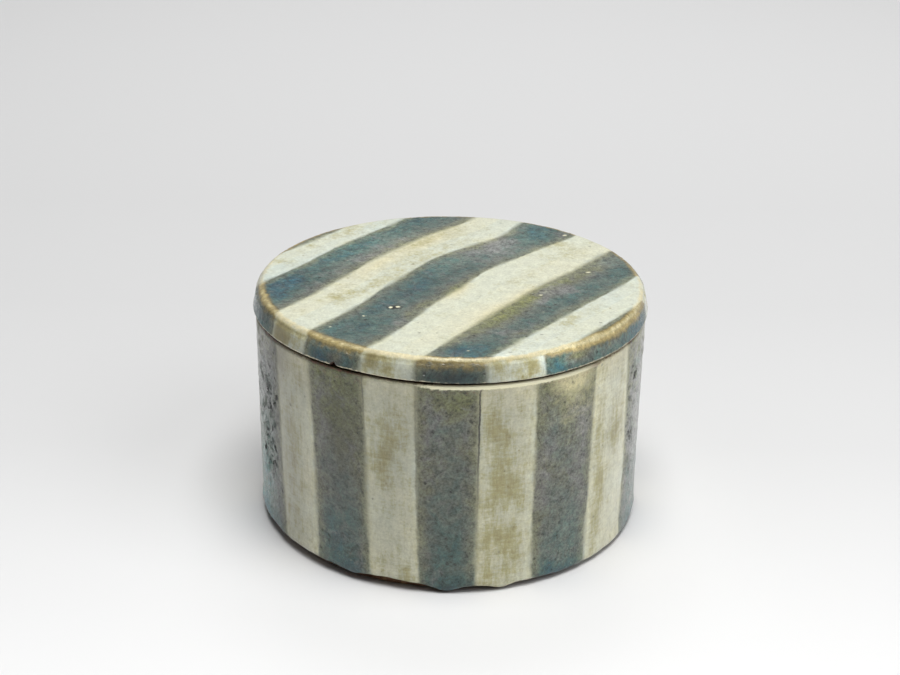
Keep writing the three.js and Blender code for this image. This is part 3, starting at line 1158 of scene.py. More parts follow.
    def edge(self, angle: np.ndarray) -> np.ndarray:
        """The lower edge of the glaze with its drips.

        Args:
            angle: Directions in degrees.

        Returns:
            The height over the table at each direction, in millimetres.
        """
        height = self.underside - self.edge_hang - self.edge_tilt * np.cos(np.radians(angle))
        for run in self.runs:
            height = height - run.round(angle)
        return height

    def crest(self, angle: np.ndarray) -> np.ndarray:
        """The height of the outer part of the rim over the table at each angle in degrees."""
        return self.rim - self.seam.rim_drop(angle, self.seat - self.rim)

    def shape(self) -> bmesh.types.BMesh:
        """Spins the section, from the lower edge up the outside, over the rim and down the inside."""
        inside = self.radius - self.thickness
        level = self.underside - self.edge_hang
        outline = (
            (self.radius, level),
            (self.radius, self.rim),
            (self.radius - self.ledge, self.rim),
            (self.radius - self.ledge - self.ledge_slope, self.rim),
            (inside, self.rim),
            (inside, self.rim - 8.0),
            *((inside, height) for height in self.inner_rings),
            (inside, self.underside),
            (self.radius - self.lip, self.underside),
            (self.radius - self.lip * self.lip_slope, level),
        )
        last = len(outline) - 1
        rounding = {0: (self.edge_rounding, 5), 1: (self.rim_rounding, 7), last: (self.lip_rounding, 3)}
        bm = turned_ring(outline, self.around, self.step, rounding, fine=(0,))
        second_finish(bm, lambda middle: middle.xy.length < inside + 0.5)
        points = verts_of(bm)
        angle, radius = polar(points)
        height = points[:, 2].copy()
        hang = ramp(height, level + self.edge_reach, level + 1.0)
        hang[(height > self.underside - 0.01) & (radius < self.radius - 1.0)] = 0.0
        sink = ramp(height, self.rim - self.rim_reach, self.rim - self.rim_rounding)
        sink *= radius > self.radius - self.ledge - 0.3 * self.ledge_slope
        points[:, 2] += (self.edge(angle) - level) * hang + (self.crest(angle) - self.rim) * sink
        place_verts(bm, points)
        return bm

    def build(self, striped: bpy.types.Material, inner: bpy.types.Material) -> bpy.types.Object:
        """Models and dresses the wall.

        Args:
            striped: The finish of the outside.
            inner: The finish of the inside.

        Returns:
            The piece.
        """
        wall = Sculpture("striped_wall", self.shape())
        points = verts_of(wall.bm)
        angle, radius = polar(points)
        height = points[:, 2]
        inward = self.radius - radius
        outside = self.outer.over(inward)
        stripe, pitted = self.stripes.measure(angle, height, self.radius)
        is_dark = self.dark_edge.over(stripe)
        from_edge = height - self.edge(angle)
        from_crest = self.crest(angle) - height
        front = self.front.round(angle)
        broad, lumps, skin, cloud = grains(points, self.kinds, seed=1)

        # Pits where the lists have them, but none along the edge of a stripe or right under the rim.
        pitted = np.clip(0.06 + 0.05 * pitted + marks(self.pit_fields, angle, height), 0.0, 1.0)
        pitted *= self.pit_margin.over(stripe) * self.pit_top.over(from_crest)
        dug, pit = self.bubbles.scatter(np.radians(angle) * self.radius, height, pitted, stretch=1.2)
        pit *= 0.5 + 0.5 * np.clip(2.0 * pitted, 0.0, 1.0)
        relief = self.waves * broad + self.lumps * lumps + self.skin * skin * (0.25 + is_dark) + dug
        relief -= self.dip.over(stripe)
        relief += self.roll.over(from_edge) * (0.75 + 0.5 * lumps)
        relief += self.flare.over(from_crest) * front
        wall.push(relief * outside)

        pool = 0.47 - self.thin_rim.over(from_crest) + 0.08 * cloud
        pooled = self.thick_edge.over(from_edge) + self.thick_foot.over(height)
        pooled += marks(self.pools, angle, height)
        # The rim's edge is cream where the light falls on it: partly wear, partly a painted highlight.
        cream = self.cream.over(from_crest) * self.lit_share.over(self.lit.round(angle))
        brown = self.brown.over(from_crest) + self.brown_shadow.over(from_crest) * is_dark
        # Bare clay on top of the rim and under the hanging lip.
        groove = ramp(inward, 1.0, 1.7) * ramp(from_crest, 3.0, 1.0)
        below = ramp(from_edge, 0.9, 0.2) * ramp(inward, 0.5, 1.5)
        wall.fields = {
            Field.STRIPE: stripe,
            Field.POOL: np.where(stripe > 0, pool + pooled, pool + 0.04),
            Field.HAZE: 0.1 + marks(self.hazes, angle, height),
            Field.STAIN: 0.1 + marks(self.stains, angle, height),
            Field.THIN: np.zeros(len(points)),
            Field.TONE_AND_LIGHT: 1.0 + marks(self.shades, angle, height),
            Field.WEAR_AND_HIGHLIGHT: np.maximum(cream, brown) * self.worn_to.over(inward),
            Field.RUST: np.where(from_crest < 2.6, 1.0 - ramp(front, 0.35, 0.6), 1.0),
            Field.PIT: pit * outside,
            Field.SKIN: 0.9 - self.dull_rim.over(from_crest) * self.dull_side.round(angle),
            Field.PITTED: pitted * outside,
            Field.LINE: marks(self.lines, angle, height) * outside,
            Field.BARE: np.clip(groove * (height > self.rim - 3.0) + below, 0.0, 1.0),
        }
        return wall.complete((striped, inner), "box", ("wall",))


@dataclass(frozen=True)
class GoldEdge:
    """The golden line where the glaze of the lid ran thin over its shoulder. It is strongest at the front,
    where its palest part is also a painted highlight along the lit shoulder.

    Each row is an angle round the lid, how far over the edge the middle of the line lies there, the line's
    width, its strength, and the strength of the fainter trail below it.
    """

    rows: tuple[tuple[float, float, float, float, float], ...] = (
        (-180.0, 0.8, 2.0, 0.5, 0.2),
        (-150.0, 0.7, 2.2, 0.6, 0.26),
        (-125.0, 0.5, 2.6, 0.53, 0.28),
        (-107.0, 1.0, 1.8, 0.74, 0.3),
        (-95.0, 1.9, 1.2, 0.9, 0.38),
        (-84.0, 2.5, 1.2, 0.9, 0.4),
        (-70.0, 2.5, 1.3, 0.8, 0.22),
        (-55.0, 2.5, 1.9, 0.86, 0.2),
        (-40.0, 2.6, 2.2, 0.7, 0.32),
        (-25.0, 2.4, 2.2, 0.68, 0.32),
        (0.0, 1.4, 2.0, 0.5, 0.2),
        (90.0, 1.0, 1.6, 0.45, 0.2),
        (180.0, 0.8, 2.0, 0.5, 0.2),
    )
    trail_at: float = 2.4
    trail_width: float = 3.0
    wander: float = 0.5

    def over(self, angle: np.ndarray, over_edge: np.ndarray, lumps: np.ndarray) -> np.ndarray:
        """Measures the line.

        Args:
            angle: Each place's angle round the lid in degrees.
            over_edge: How far over the edge it lies, in millimetres.
            lumps: The unevenness that the line wanders with.

        Returns:
            How thin the glaze is, from 0 to 1.
        """
        stations, *curves = zip(*self.rows)
        centre, width, share, trail = (flowing(stations, curve, turn_between(angle, 0.0)) for curve in curves)
        across = over_edge - centre - self.wander * lumps
        return share * bell(across, width) + trail * bell(across - self.trail_at, self.trail_width)


@dataclass
class Lid:
    """The lid: a flat plate with a rounded shoulder and a shallow skirt that hides the collar."""

    top: float = field(default_factory=lambda: corner("lid_plate", 1).z)
    plate_bottom: float = field(default_factory=lambda: corner("lid_plate", 0).z)
    bottom: float = field(default_factory=lambda: corner("lid_skirt", 0).z)
    collar_radius: float = field(default_factory=lambda: corner("rim_collar", 1).x)
    radius: float = 95.0
    draft: float = 2.3
    shoulder: float = 3.0
    edge_rounding: float = 0.9
    clearance: float = 1.0
    cells_across: int = 232
    step: float = 0.75
    under_rings: tuple[float, ...] = (80.0, 72.0, 60.0, 46.0, 32.0, 18.0, 8.0, 2.0)
    kinds: tuple[tuple[float, int], ...] = ((48.0, 2), (8.0, 2), (2.6, 3), (6.0, 3))
    waves: float = 0.2  # how high the waves of the surface and its lumps stand
    lumps: float = 0.05
    dark_skin: float = 0.06
    pale_skin: float = 0.025
    dip: Bump = Bump(0.0, 0.6, 0.09)  # along the edge of a stripe
    crease: Climb = Climb(0.2, 0.95)  # how sharp the folds are
    side_from: Climb = Climb(0.25, 2.0)  # below the top, where the side takes over
    top_to: Climb = Climb(1.2, 2.4)  # below the top, where its marks end
    dark_edge: Climb = Climb(-0.3, 0.8)  # into a dark stripe
    pit_margin: Climb = Climb(0.5, 2.0)  # into a dark stripe, where its pits begin
    thick_side: Climb = Climb(2.0, 5.0)  # below the top, where the glaze of the side lies thick
    shoulder_shade: Bump = Bump(1.8, 1.6, 0.17)  # over the edge, how much painted shade darkens the pale glaze
    shoulder_shade_left: Climb = Climb(-19.0, -26.0)  # degrees from the front, where that painted shade begins on the left
    scorch: Bump = Bump(2.6, 2.1, 0.8)  # over the edge, how much the pale glaze is scorched
    scorch_left: Climb = Climb(-14.0, -26.0)  # degrees from the front, where that begins
    scorch_gap: Bump = Bump(-133.0, 5.0, 0.4)  # where there is less of it
    lip_wear: Bump = Bump(0.5, 0.45, 0.6)  # above the lower edge, how worn it is
    lip_spared: Bump = Bump(-80.0, 18.0, 0.5)  # where it is less worn
    dull_side: Bump = Bump(-155.0, 8.0, 0.6)  # where the side is dull
    fold_depth: float = 0.26
    fold_shade: float = 0.36
    blister_width: float = 1.5  # shares of the sizes in the list of blisters
    crater_width: float = 0.9
    blister_rise: float = 0.9
    crater_depth: float = 0.75
    chip_at: float = -122.4
    chip_width: float = 1.7
    chip_height: float = 1.5
    chip_depth: float = 1.4
    chip_rim: float = 1.15  # how much wider than the chip the glaze has come off
    bubbles: Pits = Pits(per_square_centimetre=3.0, smallest=0.5, largest=1.3, depth=0.3, seed=8)
    gold: GoldEdge = GoldEdge()
    seam: Seam = Seam()
    stripes: LidStripes = LidStripes()
    blisters: tuple[Patch, ...] = patches(
        (-27.4, -37.5, 1.3, 1.3, 0.8), (-24.2, -36.9, 1.5, 1.3, 0.8), (-38.9, -47.5, 1.5, 1.2, 0.6),
        (-53.3, -60.4, 1.2, 1, 0.5), (42.1, -20.5, 1.4, 1.2, 0.6), (42.3, -40.5, 1.1, 1, 0.5),
        (66.8, 10, 1.8, 1.4, 0.6), (58.9, 61.8, 1.6, 1.4, 0.6), (16, 10.4, 1, 0.9, 0.3),
        (8, -84, 1.5, 1.2, 0.5), (-60, -52, 1.1, 1, 0.4),
    )
    wrinkles: tuple[Patch, ...] = patches(
        (-48, 44, 22, 12, 1, 60), (-22, 78, 20, 10, 0.9, 40), (-76, -4, 14, 14, 0.8),
        (-20, 10, 20, 8, 0.5, 60), (46, 64, 16, 10, 0.7, 40), (0, -82, 16, 8, 0.7),
        (-44, -58, 14, 12, 0.6, 40), (70, 10, 12, 14, 0.5, 40),
    )
    stains: tuple[Patch, ...] = patches(
        (-51.9, -23.9, 8, 5.5, 0.42, 55), (-83, 20, 7, 4.5, 0.5), (-2, -44, 3.5, 4, 0.42),
        (54.9, 49, 5, 9, 0.35, 30), (65.8, -38, 7, 5, 0.4, 40), (50, -52, 6, 4, 0.3, 40),
        (2, 70, 5, 7, 0.3, -20), (-73, 42, 3, 3, 0.3), (18, -18, 2.5, 2, 0.3), (-8, 32, 8, 2, 0.25, 50),
        (50, 30, 12, 5, 0.25, 50), (-19, 23, 13, 55, 0.3, -35), (-10, 46, 10, 22, 0.12, -35),
        (62, 42, 12, 12, 0.3), (-14, 52, 4, 28, 0.34, -35), (-20, 14, 4, 44, 0.1, -35),
        (-38, -12, 4, 14, 0.3, -35), (-60, 57, 9, 30, 0.34, -35), (54, -49, 5, 18, 0.36, -38),
        (34, 2, 5, 26, 0.22, -38),
    )
    shades: tuple[Patch, ...] = patches(
        (28, 50, 13, 24, 0.43, -38), (-2, 20, 5, 18, 0.34, -35), (46, 66, 8, 9, 0.14),
        (-7, 22, 4, 16, 0.12, -35), (-24, 56, 4, 14, 0.12, -38), (-42, 46, 13, 28, 0.6, -36),
        (73, 20, 4, 14, 0.3, -38), (49, -24, 5, 12, 0.1, -38), (-16, -14, 8, 34, -0.22, -35),
        (34, -28, 4, 60, 0.22, -38), (-50, -58, 4, 10, 0.2, -35),
    )
    pools: tuple[Patch, ...] = patches(
        (-76, -8, 11, 10, 0.26), (-74, -28, 8, 8, 0.16), (2, -84, 14, 7, 0.22), (-42, -62, 12, 8, 0.12),
        (46, 66, 12, 10, 0.14), (-14, 82, 16, 8, 0.12), (-14, 10, 12, 5, 0.12, 60),
        (22, -46, 7.5, 20, -0.5, -36), (39, -19, 6.5, 20, -0.42, -44), (4, -14, 4, 12, -0.5, -25),
        (-12, 52, 4.5, 18, -0.4, -38), (-36, 18, 4, 18, -0.3, -30), (-20, -20, 6, 30, 0.2, -35),
        (-14, -34, 3, 12, -0.2, -30), (56, -34, 3, 18, -0.18, -40), (18, 50, 6, 18, -0.3, -38),
        (30, -66, 4, 14, -0.25, -38), (59, 0, 5, 34, -0.28, -42), (-46, 40, 6, 30, 0.1, -38),
        (-80, -22, 7, 7, 0.25), (78, 12, 6, 8, 0.1),
    )
    hazes: tuple[Patch, ...] = patches(
        (-34, 34, 7, 22, 0.8, -38), (-62, -12, 5, 14, 0.4, -30), (22, 44, 10, 16, 1, -50),
        (12, 20, 9, 14, 0.2, -40), (50, -16, 8, 18, 0.8, -38), (-30, -30, 6, 14, 0.3, -30),
        (-24, -56, 6, 8, 0.5, -30), (76, 18, 8, 10, 0.2), (24, -66, 6, 8, 0.3, -36),
    )
    side_pools: tuple[Patch, ...] = patches(
        (-62.5, 112, 2.6, 6, 0.14), (-58, 108.4, 6, 2.4, 0.1), (-53, 112.5, 5, 3.5, -0.5),
        (-90, 113.5, 11, 3.5, -0.14), (-40, 112, 8, 4, -0.2), (-24, 109, 12, 4, 0.1),
        (-165, 109, 10, 5, 0.1), (-127, 109, 2.5, 2.5, 0.16), (-122, 111, 2.5, 4, -0.45),
        (-117.5, 110.5, 2.5, 2.5, 0.12),
    )
    side_stains: tuple[Patch, ...] = patches(
        (-143, 111, 6, 4, 0.9), (-111.5, 113, 2.6, 4, 0.6), (-108, 110, 3, 3, 0.3),
        (-73, 110.5, 1.6, 2.2, 0.4), (-77, 114.6, 4, 2.4, 0.45), (-67, 111.5, 2.2, 3, 0.4),
        (0, 111, 6, 4, 0.5),
    )
    side_shades: tuple[Patch, ...] = patches(
        (-90, 109.2, 11, 4.3, -0.8), (-124, 109, 10, 4, -0.56), (-60, 109.5, 5, 4, 0.9),
        (-32, 111, 22, 5, 0.22), (-143, 110, 8, 6, -0.42), (-108, 112, 6, 6, -0.2),
        (-112, 113.5, 3, 3.5, -0.2), (-157, 112.5, 8, 3.5, -0.42), (-57, 113.6, 6, 2.4, 0.9),
    )

    def edge_radius(self, height: float) -> float:
        """The radius of the side at a height over the lid's lower edge."""
        return self.radius - self.draft * height / (self.top - self.bottom)

    def flat_radius(self) -> float:
        """The radius of the flat part of the top."""
        return self.edge_radius(self.top - self.bottom) - self.shoulder

    def section(self) -> list[tuple[float, float]]:
        """The section below the flat top, from the shoulder down the side, under the edge and in again."""
        points: list[tuple[float, float]] = []
        flat = self.flat_radius()
        for step in range(1, 9):
            turn = math.radians(step * 10.0)
            down = self.shoulder * (1.0 - math.cos(turn))
            points.append((flat + self.shoulder * math.sin(turn), self.top - down))
        height = self.top - self.bottom - self.shoulder
        while height > 1.0:
            points.append((self.edge_radius(height), self.bottom + height))
            height -= self.step
        for step in range(1, 6):
            turn = math.radians(step * 18.0)
            points.append((self.radius - self.edge_rounding * (1.0 - math.cos(turn)),
                           self.bottom + self.edge_rounding * (1.0 - math.sin(turn))))
        inner = self.collar_radius + self.clearance
        points += [(inner + out, self.bottom) for out in (4.4, 2.8, 0.5)]
        points += [(inner, self.bottom + 0.5), (inner, self.plate_bottom - 1.5)]
        points += [(inner - 0.5, self.plate_bottom - 0.5), (inner - 1.5, self.plate_bottom)]
        return points + [(radius, self.plate_bottom) for radius in self.under_rings]

    def shape(self) -> bmesh.types.BMesh:
        """Draws a grid out to a disc for the top and extrudes its rim down the section."""
        flat = self.flat_radius()
        bm = bmesh.new()
        bmesh.ops.create_grid(bm, x_segments=self.cells_across, y_segments=self.cells_across, size=1.0)
        for vert in bm.verts:
            a, b = vert.co.x, vert.co.y
            reach = max(abs(a), abs(b))
            if reach < 1e-9:
                turn = 0.0
            elif abs(a) > abs(b):
                turn = math.pi / 4 * b / a + (math.pi if a < 0 else 0.0)
            else:
                turn = math.pi / 2 - math.pi / 4 * a / b + (math.pi if b < 0 else 0.0)
            vert.co = (flat * reach * math.cos(turn), flat * reach * math.sin(turn), self.top)
        rim = [edge for edge in bm.edges if edge.is_boundary]
        for radius, height in self.section():
            made = bmesh.ops.extrude_edge_only(bm, edges=rim)["geom"]
            rim = [item for item in made if isinstance(item, bmesh.types.BMEdge) and item.is_boundary]
            for vert in {v for edge in rim for v in edge.verts}:
                share = radius / vert.co.xy.length
                vert.co = (vert.co.x * share, vert.co.y * share, height)
        bmesh.ops.contextual_create(bm, geom=rim)
        bmesh.ops.recalc_face_normals(bm, faces=bm.faces)
        inner = self.collar_radius + self.clearance
        second_finish(bm, lambda middle: middle.z < self.top - 1.0 and middle.xy.length < inner + 0.2)
        points = verts_of(bm)
        angle, radius = polar(points)
        at_edge = ramp(points[:, 2], self.bottom + 6.0, self.bottom + 0.5)
        at_side = ramp(radius, self.radius - 5.0, self.radius - 3.0)
        points[:, 2] += self.seam.lid_edge(angle) * at_edge * at_side
        place_verts(bm, points)
        return bm

    def build(self, striped: bpy.types.Material, inner: bpy.types.Material) -> bpy.types.Object:
        """Models and dresses the lid.

        Args:
            striped: The finish of the outside.
            inner: The finish of the underside.

        Returns:
            The piece.
        """
        lid = Sculpture("striped_lid", self.shape())
        points = verts_of(lid.bm)
        angle, radius = polar(points)
        x, y, height = points.T
        below_top = self.top - height
        side = self.side_from.over(below_top)
        on_top = 1.0 - self.top_to.over(below_top)
        outside = np.where(radius > self.radius - 2.4, 1.0, on_top)
        stripe, pitted, thicker = self.stripes.measure(points, angle, self.radius, side)
        is_dark = self.dark_edge.over(stripe)
        broad, lumps, skin, fold = grains(points, self.kinds, seed=11)

        # A few fine pits, burst blisters with a crater in them, and folds where the thick glaze crept.
        pitted = 0.06 * pitted * self.pit_margin.over(stripe) * on_top
        dug, pit = self.bubbles.scatter(x, y, pitted)
        blister = marks([patch.grown(self.blister_width) for patch in self.blisters], x, y)
        crater = marks([patch.grown(self.crater_width) for patch in self.blisters], x, y)
        creases = (0.25 + marks(self.wrinkles, x, y)) * self.crease.over(1.0 - 2.0 * np.abs(fold))
        relief = self.waves * broad + self.lumps * lumps - self.dip.over(stripe)
        relief += is_dark * (self.dark_skin * skin - self.fold_depth * creases)
        relief += (1 - is_dark) * self.pale_skin * skin
        relief += (dug + self.blister_rise * blister - self.crater_depth * crater) * on_top
        lid.push(relief * outside)
        self.chip(lid)

        above_edge = height - self.bottom - self.seam.lid_edge(angle)
        over_edge = self.over_edge(radius, below_top)
        gold = self.gold.over(angle, over_edge, lumps)
        pool = 0.63 + (marks(self.pools, x, y) + thicker) * on_top + 0.06 * broad
        pool += self.thick_side.over(below_top) * (0.12 + marks(self.side_pools, angle, height))
        # On the left, away from the light, the pale glaze of the shoulder is darkened as painted shade, and
        # it is stained more there.
        left = turn_between(angle, -85.0)
        painted_shoulder_shade = self.shoulder_shade.over(over_edge) * self.shoulder_shade_left.over(left) * (1.0 - is_dark)
        scorched = self.scorch.over(over_edge) * self.scorch_left.over(left)
        scorched *= 1.0 - self.scorch_gap.round(angle)
        on_side = (0.3 + 0.4 * lumps + scorched + marks(self.side_stains, angle, height)) * (1.0 - is_dark)
        shade_top = marks(self.shades, x, y) * is_dark - 0.05 - self.fold_shade * creases * is_dark
        shade_side = side * marks(self.side_shades, angle, height) - painted_shoulder_shade
        # The lower edge is worn, half as much at the front, and its underside is bare.
        lip = self.lip_wear.over(above_edge) * ramp(radius, self.radius - 3.0, self.radius - 1.0)
        lip *= 1.0 - self.lip_spared.round(angle)
        under = ramp(above_edge, 0.35, 0.1) * ramp(radius, self.radius - 0.4, self.radius - 1.2)
        under *= radius < self.radius - 0.4
        lid.fields = {
            Field.STRIPE: stripe,
            Field.POOL: np.where(stripe > 0, pool, pool + 0.06),
            Field.THIN: gold * (radius > self.radius - 9.0),
            Field.TONE_AND_LIGHT: 1.0 + shade_side + on_top * shade_top,
            Field.HAZE: np.clip(marks(self.hazes, x, y), 0.0, 1.2) * on_top,
            Field.STAIN: marks(self.stains, x, y) * on_top + side * on_side - 0.04 * on_top,
            # The cream spots in the craters of the blisters are painted glints.
            Field.WEAR_AND_HIGHLIGHT: np.maximum(lip, 1.1 * crater * on_top),
            Field.RUST: np.where(above_edge < 3.0, 0.25, 0.0),
            Field.PIT: np.clip(0.6 * pit + 2.6 * (blister - 1.35 * crater), 0.0, 0.8) * on_top,
            Field.PITTED: pitted,
            Field.SKIN: 0.9 - 0.5 * on_top - self.dull_side.round(angle) * side,
            Field.LINE: np.zeros(len(points)),
            Field.BARE: np.clip(under + self.chip_reach(points, self.chip_rim), 0.0, 1.0),
        }
        return lid.complete((striped, inner), "lid", ("lid_plate", "lid_skirt"))

    def over_edge(self, radius: np.ndarray, below_top: np.ndarray) -> np.ndarray:
        """How far places lie beyond the flat of the top.

        Args:
            radius: Each place's radius.
            below_top: How far it lies below the top.

        Returns:
            The way along the surface in millimetres, less than 0 on the flat.
        """
        turned = self.shoulder * np.arccos(np.clip(1.0 - below_top / self.shoulder, 0.0, 1.0))
        down = turned + np.maximum(below_top - self.shoulder, 0.0)
        return np.where(below_top < 0.001, radius - self.flat_radius(), down)

    def chip_reach(self, points: np.ndarray, scale: float) -> np.ndarray:
        """Where the flake is missing at the lower edge.

        Args:
            points: Places in millimetres.
            scale: How much larger than the flake to reach.

        Returns:
            1 well inside that reach and 0 outside it.
        """
        angle, radius = polar(points)
        across = np.radians(turn_between(angle, self.chip_at)) * self.radius / (self.chip_width * scale)
        up = (points[:, 2] - self.bottom - self.seam.lid_edge(angle)) / (self.chip_height * scale)
        into = (self.radius - radius) / (self.chip_depth * scale)
        return ramp(np.sqrt(across**2 + up**2 + into**2), 1.05, 0.85)

    def chip(self, lid: Sculpture) -> None:
        """Breaks a small flake out of the lower edge.

        Args:
            lid: The lid's surface, which is changed.
        """
        points = verts_of(lid.bm)
        depth = self.chip_reach(points, 1.0)
        _, radius = polar(points)
        points[:, :2] *= (1.0 - 1.1 * depth / np.maximum(radius, 1.0))[:, None]
        points[:, 2] += 0.5 * depth
        place_verts(lid.bm, points)


@dataclass
class Collar:
    """The ring luted inside the rim, which stands up and keeps the lid in place."""

    thickness: float = 4.4
    rounding: float = 1.4
    foot_rounding: float = 1.6
    around: int = 360
    step: float = 1.0
    glazed_to: float = 1.6  # how far below the top the glaze of the inside ends
    pool: float = 0.42  # how thick that glaze lies
    finger_lines: float = 0.05  # height of the faint lines round it

    def build(self, clay: bpy.types.Material, glaze: bpy.types.Material) -> bpy.types.Object:
        """Models the collar with a turned top edge and faint finger lines.

        Args:
            clay: The finish of its top and outside.
            glaze: The finish of its inside, which ends a little under the top.

        Returns:
            The piece.
        """
        low, high = corner("rim_collar", 0), corner("rim_collar", 1)
        outer = high.x
        inner = outer - self.thickness
        outline = ((outer, low.z), (outer, high.z), (inner, high.z), (inner, low.z))
        rounding = {1: (self.rounding, 4), 2: (self.rounding, 4), 3: (self.foot_rounding, 4)}
        bm = turned_ring(outline, self.around, self.step, rounding, fine=(0, 2))
        glazed_to = high.z - self.glazed_to
        second_finish(bm, lambda middle: middle.xy.length < inner + 0.02 and middle.z < glazed_to)
        collar = Sculpture("collar_ring", bm)
        points = verts_of(bm)
        angle, _ = polar(points)
        lines = np.sin(points[:, 2] * 2.3 + 0.6 * np.sin(np.radians(angle)))
        collar.push(self.finger_lines * (lines - 1.0) + 0.08 * grain(points, 14.0, 2, 21))
        collar.fields[Field.POOL] = np.full(len(points), self.pool)
        collar.fields[Field.BARE] = ramp(points[:, 2], high.z - 5.4, high.z - 2.6)
        return collar.complete((clay, glaze), "box", ("rim_collar",))


@dataclass
class Floor:
    """The floor slab, glazed inside with a fillet against the wall."""

    around: int = 360
    insets: tuple[float, ...] = (0.5, 1.0, 1.2, 1.6, 2.4, 5.0, 10.0, 14.0, 18.0, 22.0)
    fillet_height: float = 4.2
    fillet_width: float = 6.5
    ripple: float = 0.12  # height of the rings that the fingers left

    def build(self, inner: bpy.types.Material, clay: bpy.types.Material) -> bpy.types.Object:
        """Models the floor as a disc with a raised, pooled edge.

        Args:
            inner: The finish of its top.
            clay: The finish of its underside.

        Returns:
            The piece.
        """
        low, high = corner("floor_slab", 0), corner("floor_slab", 1)
        bm = bmesh.new()
        middle = Matrix.Translation((0, 0, (high.z + low.z) / 2))
        bmesh.ops.create_cone(bm, cap_ends=True, cap_tris=False, segments=self.around, radius1=high.x,
                              radius2=high.x, depth=high.z - low.z, matrix=middle)
        for side in (high.z, low.z):
            cap = [f for f in bm.faces if abs(f.calc_center_median().z - side) < 0.01 and len(f.verts) > 4]
            for inset in self.insets:
                bmesh.ops.inset_region(bm, faces=cap, thickness=inset, use_even_offset=True)
        second_finish(bm, lambda place: place.z <= high.z - 0.2)
        slab = Sculpture("floor_disc", bm)
        points = verts_of(bm)
        _, radius = polar(points)
        rings = self.ripple * np.sin(radius * 0.9) * ramp(radius, 2.0, 20.0)
        fillet = self.fillet_height * ramp(radius, high.x - self.fillet_width, high.x) ** 2
        points[:, 2] += np.where(points[:, 2] > high.z - 0.01, fillet + rings, 0.0)
        place_verts(bm, points)
        slab.fields[Field.POOL] = 0.45 + 0.5 * bell(radius - (high.x - 8.0), 5.0)
        slab.fields[Field.BARE] = np.zeros(len(points))
        return slab.complete((inner, clay), "box", ("floor_slab",))


@dataclass
class Foot:
    """The foot ring, wiped clean of glaze, set back under the hanging edge of the wall."""

    width: float = 9.0
    rounding: float = 1.2
    sunk: float = 0.3  # how far it runs up into the slip under the floor
    around: int = 360
    step: float = 1.2

    def build(self, clay: bpy.types.Material) -> bpy.types.Object:
        """Models the foot with worn edges and a slightly wavy tread.

        Args:
            clay: Its finish.

        Returns:
            The piece.
        """
        low, high = corner("foot_ring", 0), corner("foot_ring", 1)
        outer = high.x
        inner = outer - self.width
        top = high.z + self.sunk
        outline = ((outer, low.z), (outer, top), (inner, top), (inner, low.z))
        rounding = {0: (self.rounding, 4), 3: (self.rounding, 4)}
        bm = turned_ring(outline, self.around, self.step, rounding, fine=(0, 2, 3))
        foot = Sculpture("foot_rim", bm)
        points = verts_of(bm)
        uneven = 0.16 * grain(points, 12.0, 2, 31) + 0.05 * grain(points, 3.0, 2, 32)
        foot.push((uneven - 0.1) * ramp(points[:, 2], 0.2, 1.2))
        return foot.complete((clay,), "box", ("foot_ring",))


@dataclass(frozen=True)
class Lamp:
    """A square soft lamp."""

    name: str
    place: tuple[float, float, float]
    size: float
    watts: float
    towards: tuple[float, float, float] = (0.0, 0.0, 60.0)

    def hang(self) -> None:
        """Hangs the lamp and turns it to what it lights."""
        data = bpy.data.lights.new(self.name, "AREA")
        data.shape = "SQUARE"
        data.size = self.size * MM
        data.energy = self.watts
        lamp = bpy.data.objects.new(self.name, data)
        lamp.location = Vector(self.place) * MM
        lamp.rotation_mode = "QUATERNION"
        lamp.rotation_quaternion = (Vector(self.towards) - Vector(self.place)).to_track_quat("-Z", "Y")
        bpy.context.scene.collection.objects.link(lamp)


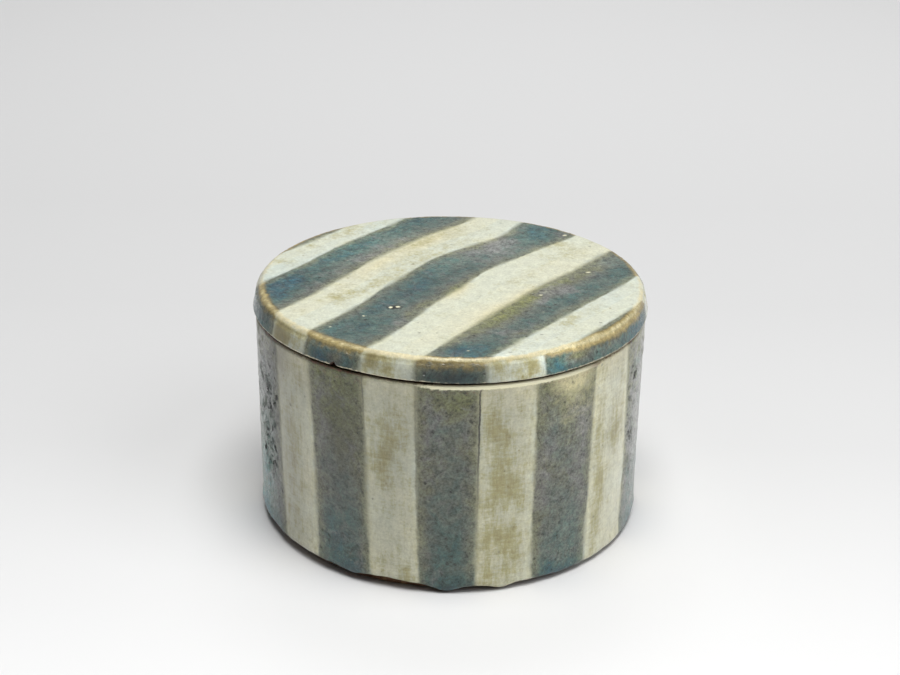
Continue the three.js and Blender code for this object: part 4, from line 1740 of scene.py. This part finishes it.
@dataclass
class Studio:
    """A pale floor, soft lamps and the camera where the photograph was taken."""

    distance: float = 718.0
    elevation: float = 24.0
    aim: tuple[float, float, float] = (-0.1, 0.0, 86.0)
    roll: float = 0.7
    lens: float = 58.54
    sensor: float = 36.0
    floor_radius: float = 3200.0
    room: Colour = paint(252, 253, 255)
    room_light: float = 0.04
    room_seen: float = 0.6
    ground: Ground = Ground()
    lamps: tuple[Lamp, ...] = (
        Lamp("overhead", (180.0, -520.0, 2600.0), 1500.0, 69.0, (180.0, -520.0, 0.0)),
        Lamp("right", (2060.0, -1190.0, 2120.0), 1800.0, 26.0),
        Lamp("left", (-2200.0, -400.0, 2200.0), 1500.0, 4.0),
        Lamp("backdrop", (0.0, 1500.0, 2300.0), 1200.0, 14.0, (0.0, 1500.0, 0.0)),
    )

    def camera(self) -> None:
        """Sets up the camera."""
        data = bpy.data.cameras.new("camera")
        data.lens = self.lens
        data.sensor_width = self.sensor
        data.clip_start = 0.01
        data.clip_end = 20.0
        camera = bpy.data.objects.new("camera", data)
        tilt = math.radians(self.elevation)
        back = Vector((0.0, -math.cos(tilt), math.sin(tilt)))
        camera.location = (Vector(self.aim) + back * self.distance) * MM
        facing = (-back).to_track_quat("-Z", "Y")
        camera.rotation_mode = "QUATERNION"
        camera.rotation_quaternion = facing @ Euler((0.0, 0.0, math.radians(self.roll))).to_quaternion()
        bpy.context.scene.collection.objects.link(camera)
        bpy.context.scene.camera = camera

    def floor(self) -> bpy.types.Object:
        """Lays the floor."""
        bm = bmesh.new()
        bmesh.ops.create_circle(bm, cap_ends=True, segments=96, radius=self.floor_radius * MM)
        bmesh.ops.recalc_face_normals(bm, faces=bm.faces)
        mesh = bpy.data.meshes.new("studio_floor")
        bm.to_mesh(mesh)
        bm.free()
        mesh.materials.append(self.ground.material())
        floor = bpy.data.objects.new("studio_floor", mesh)
        bpy.context.scene.collection.objects.link(floor)
        return floor

    def surroundings(self) -> None:
        """Sets the world: a plain pale room, brighter where it is seen than where it lights."""
        world = bpy.data.worlds.new("room")
        bpy.context.scene.world = world
        world.use_nodes = True
        tree = world.node_tree
        background = tree.nodes["Background"]
        path = tree.nodes.new("ShaderNodeLightPath")
        seen = path.outputs["Is Camera Ray"]
        for kind in ("Is Glossy Ray", "Is Transmission Ray"):
            either = tree.nodes.new("ShaderNodeMath")
            either.operation = "MAXIMUM"
            tree.links.new(seen, either.inputs[0])
            tree.links.new(path.outputs[kind], either.inputs[1])
            seen = either.outputs[0]
        level = tree.nodes.new("ShaderNodeMapRange")
        level.inputs["To Min"].default_value = self.room_light
        level.inputs["To Max"].default_value = self.room_seen
        tree.links.new(seen, level.inputs["Value"])
        tree.links.new(level.outputs["Result"], background.inputs["Strength"])
        background.inputs["Color"].default_value = self.room

    def build(self) -> None:
        """Builds the studio."""
        self.camera()
        self.floor()
        for lamp in self.lamps:
            lamp.hang()
        self.surroundings()
        bpy.context.scene.view_settings.view_transform = "Standard"


def main() -> None:
    """Builds the studio and then the box, piece by piece."""
    logging.basicConfig(level=logging.INFO, format="%(name)s: %(message)s")
    Studio().build()
    clay = BareClay().material()
    inner = InnerGlaze().material()
    striped = StripedGlaze().material()
    Foot().build(clay)
    Floor().build(inner, clay)
    Wall().build(striped, inner)
    Collar().build(clay, inner)
    Lid().build(striped, inner)


if __name__ == "__main__":
    main()
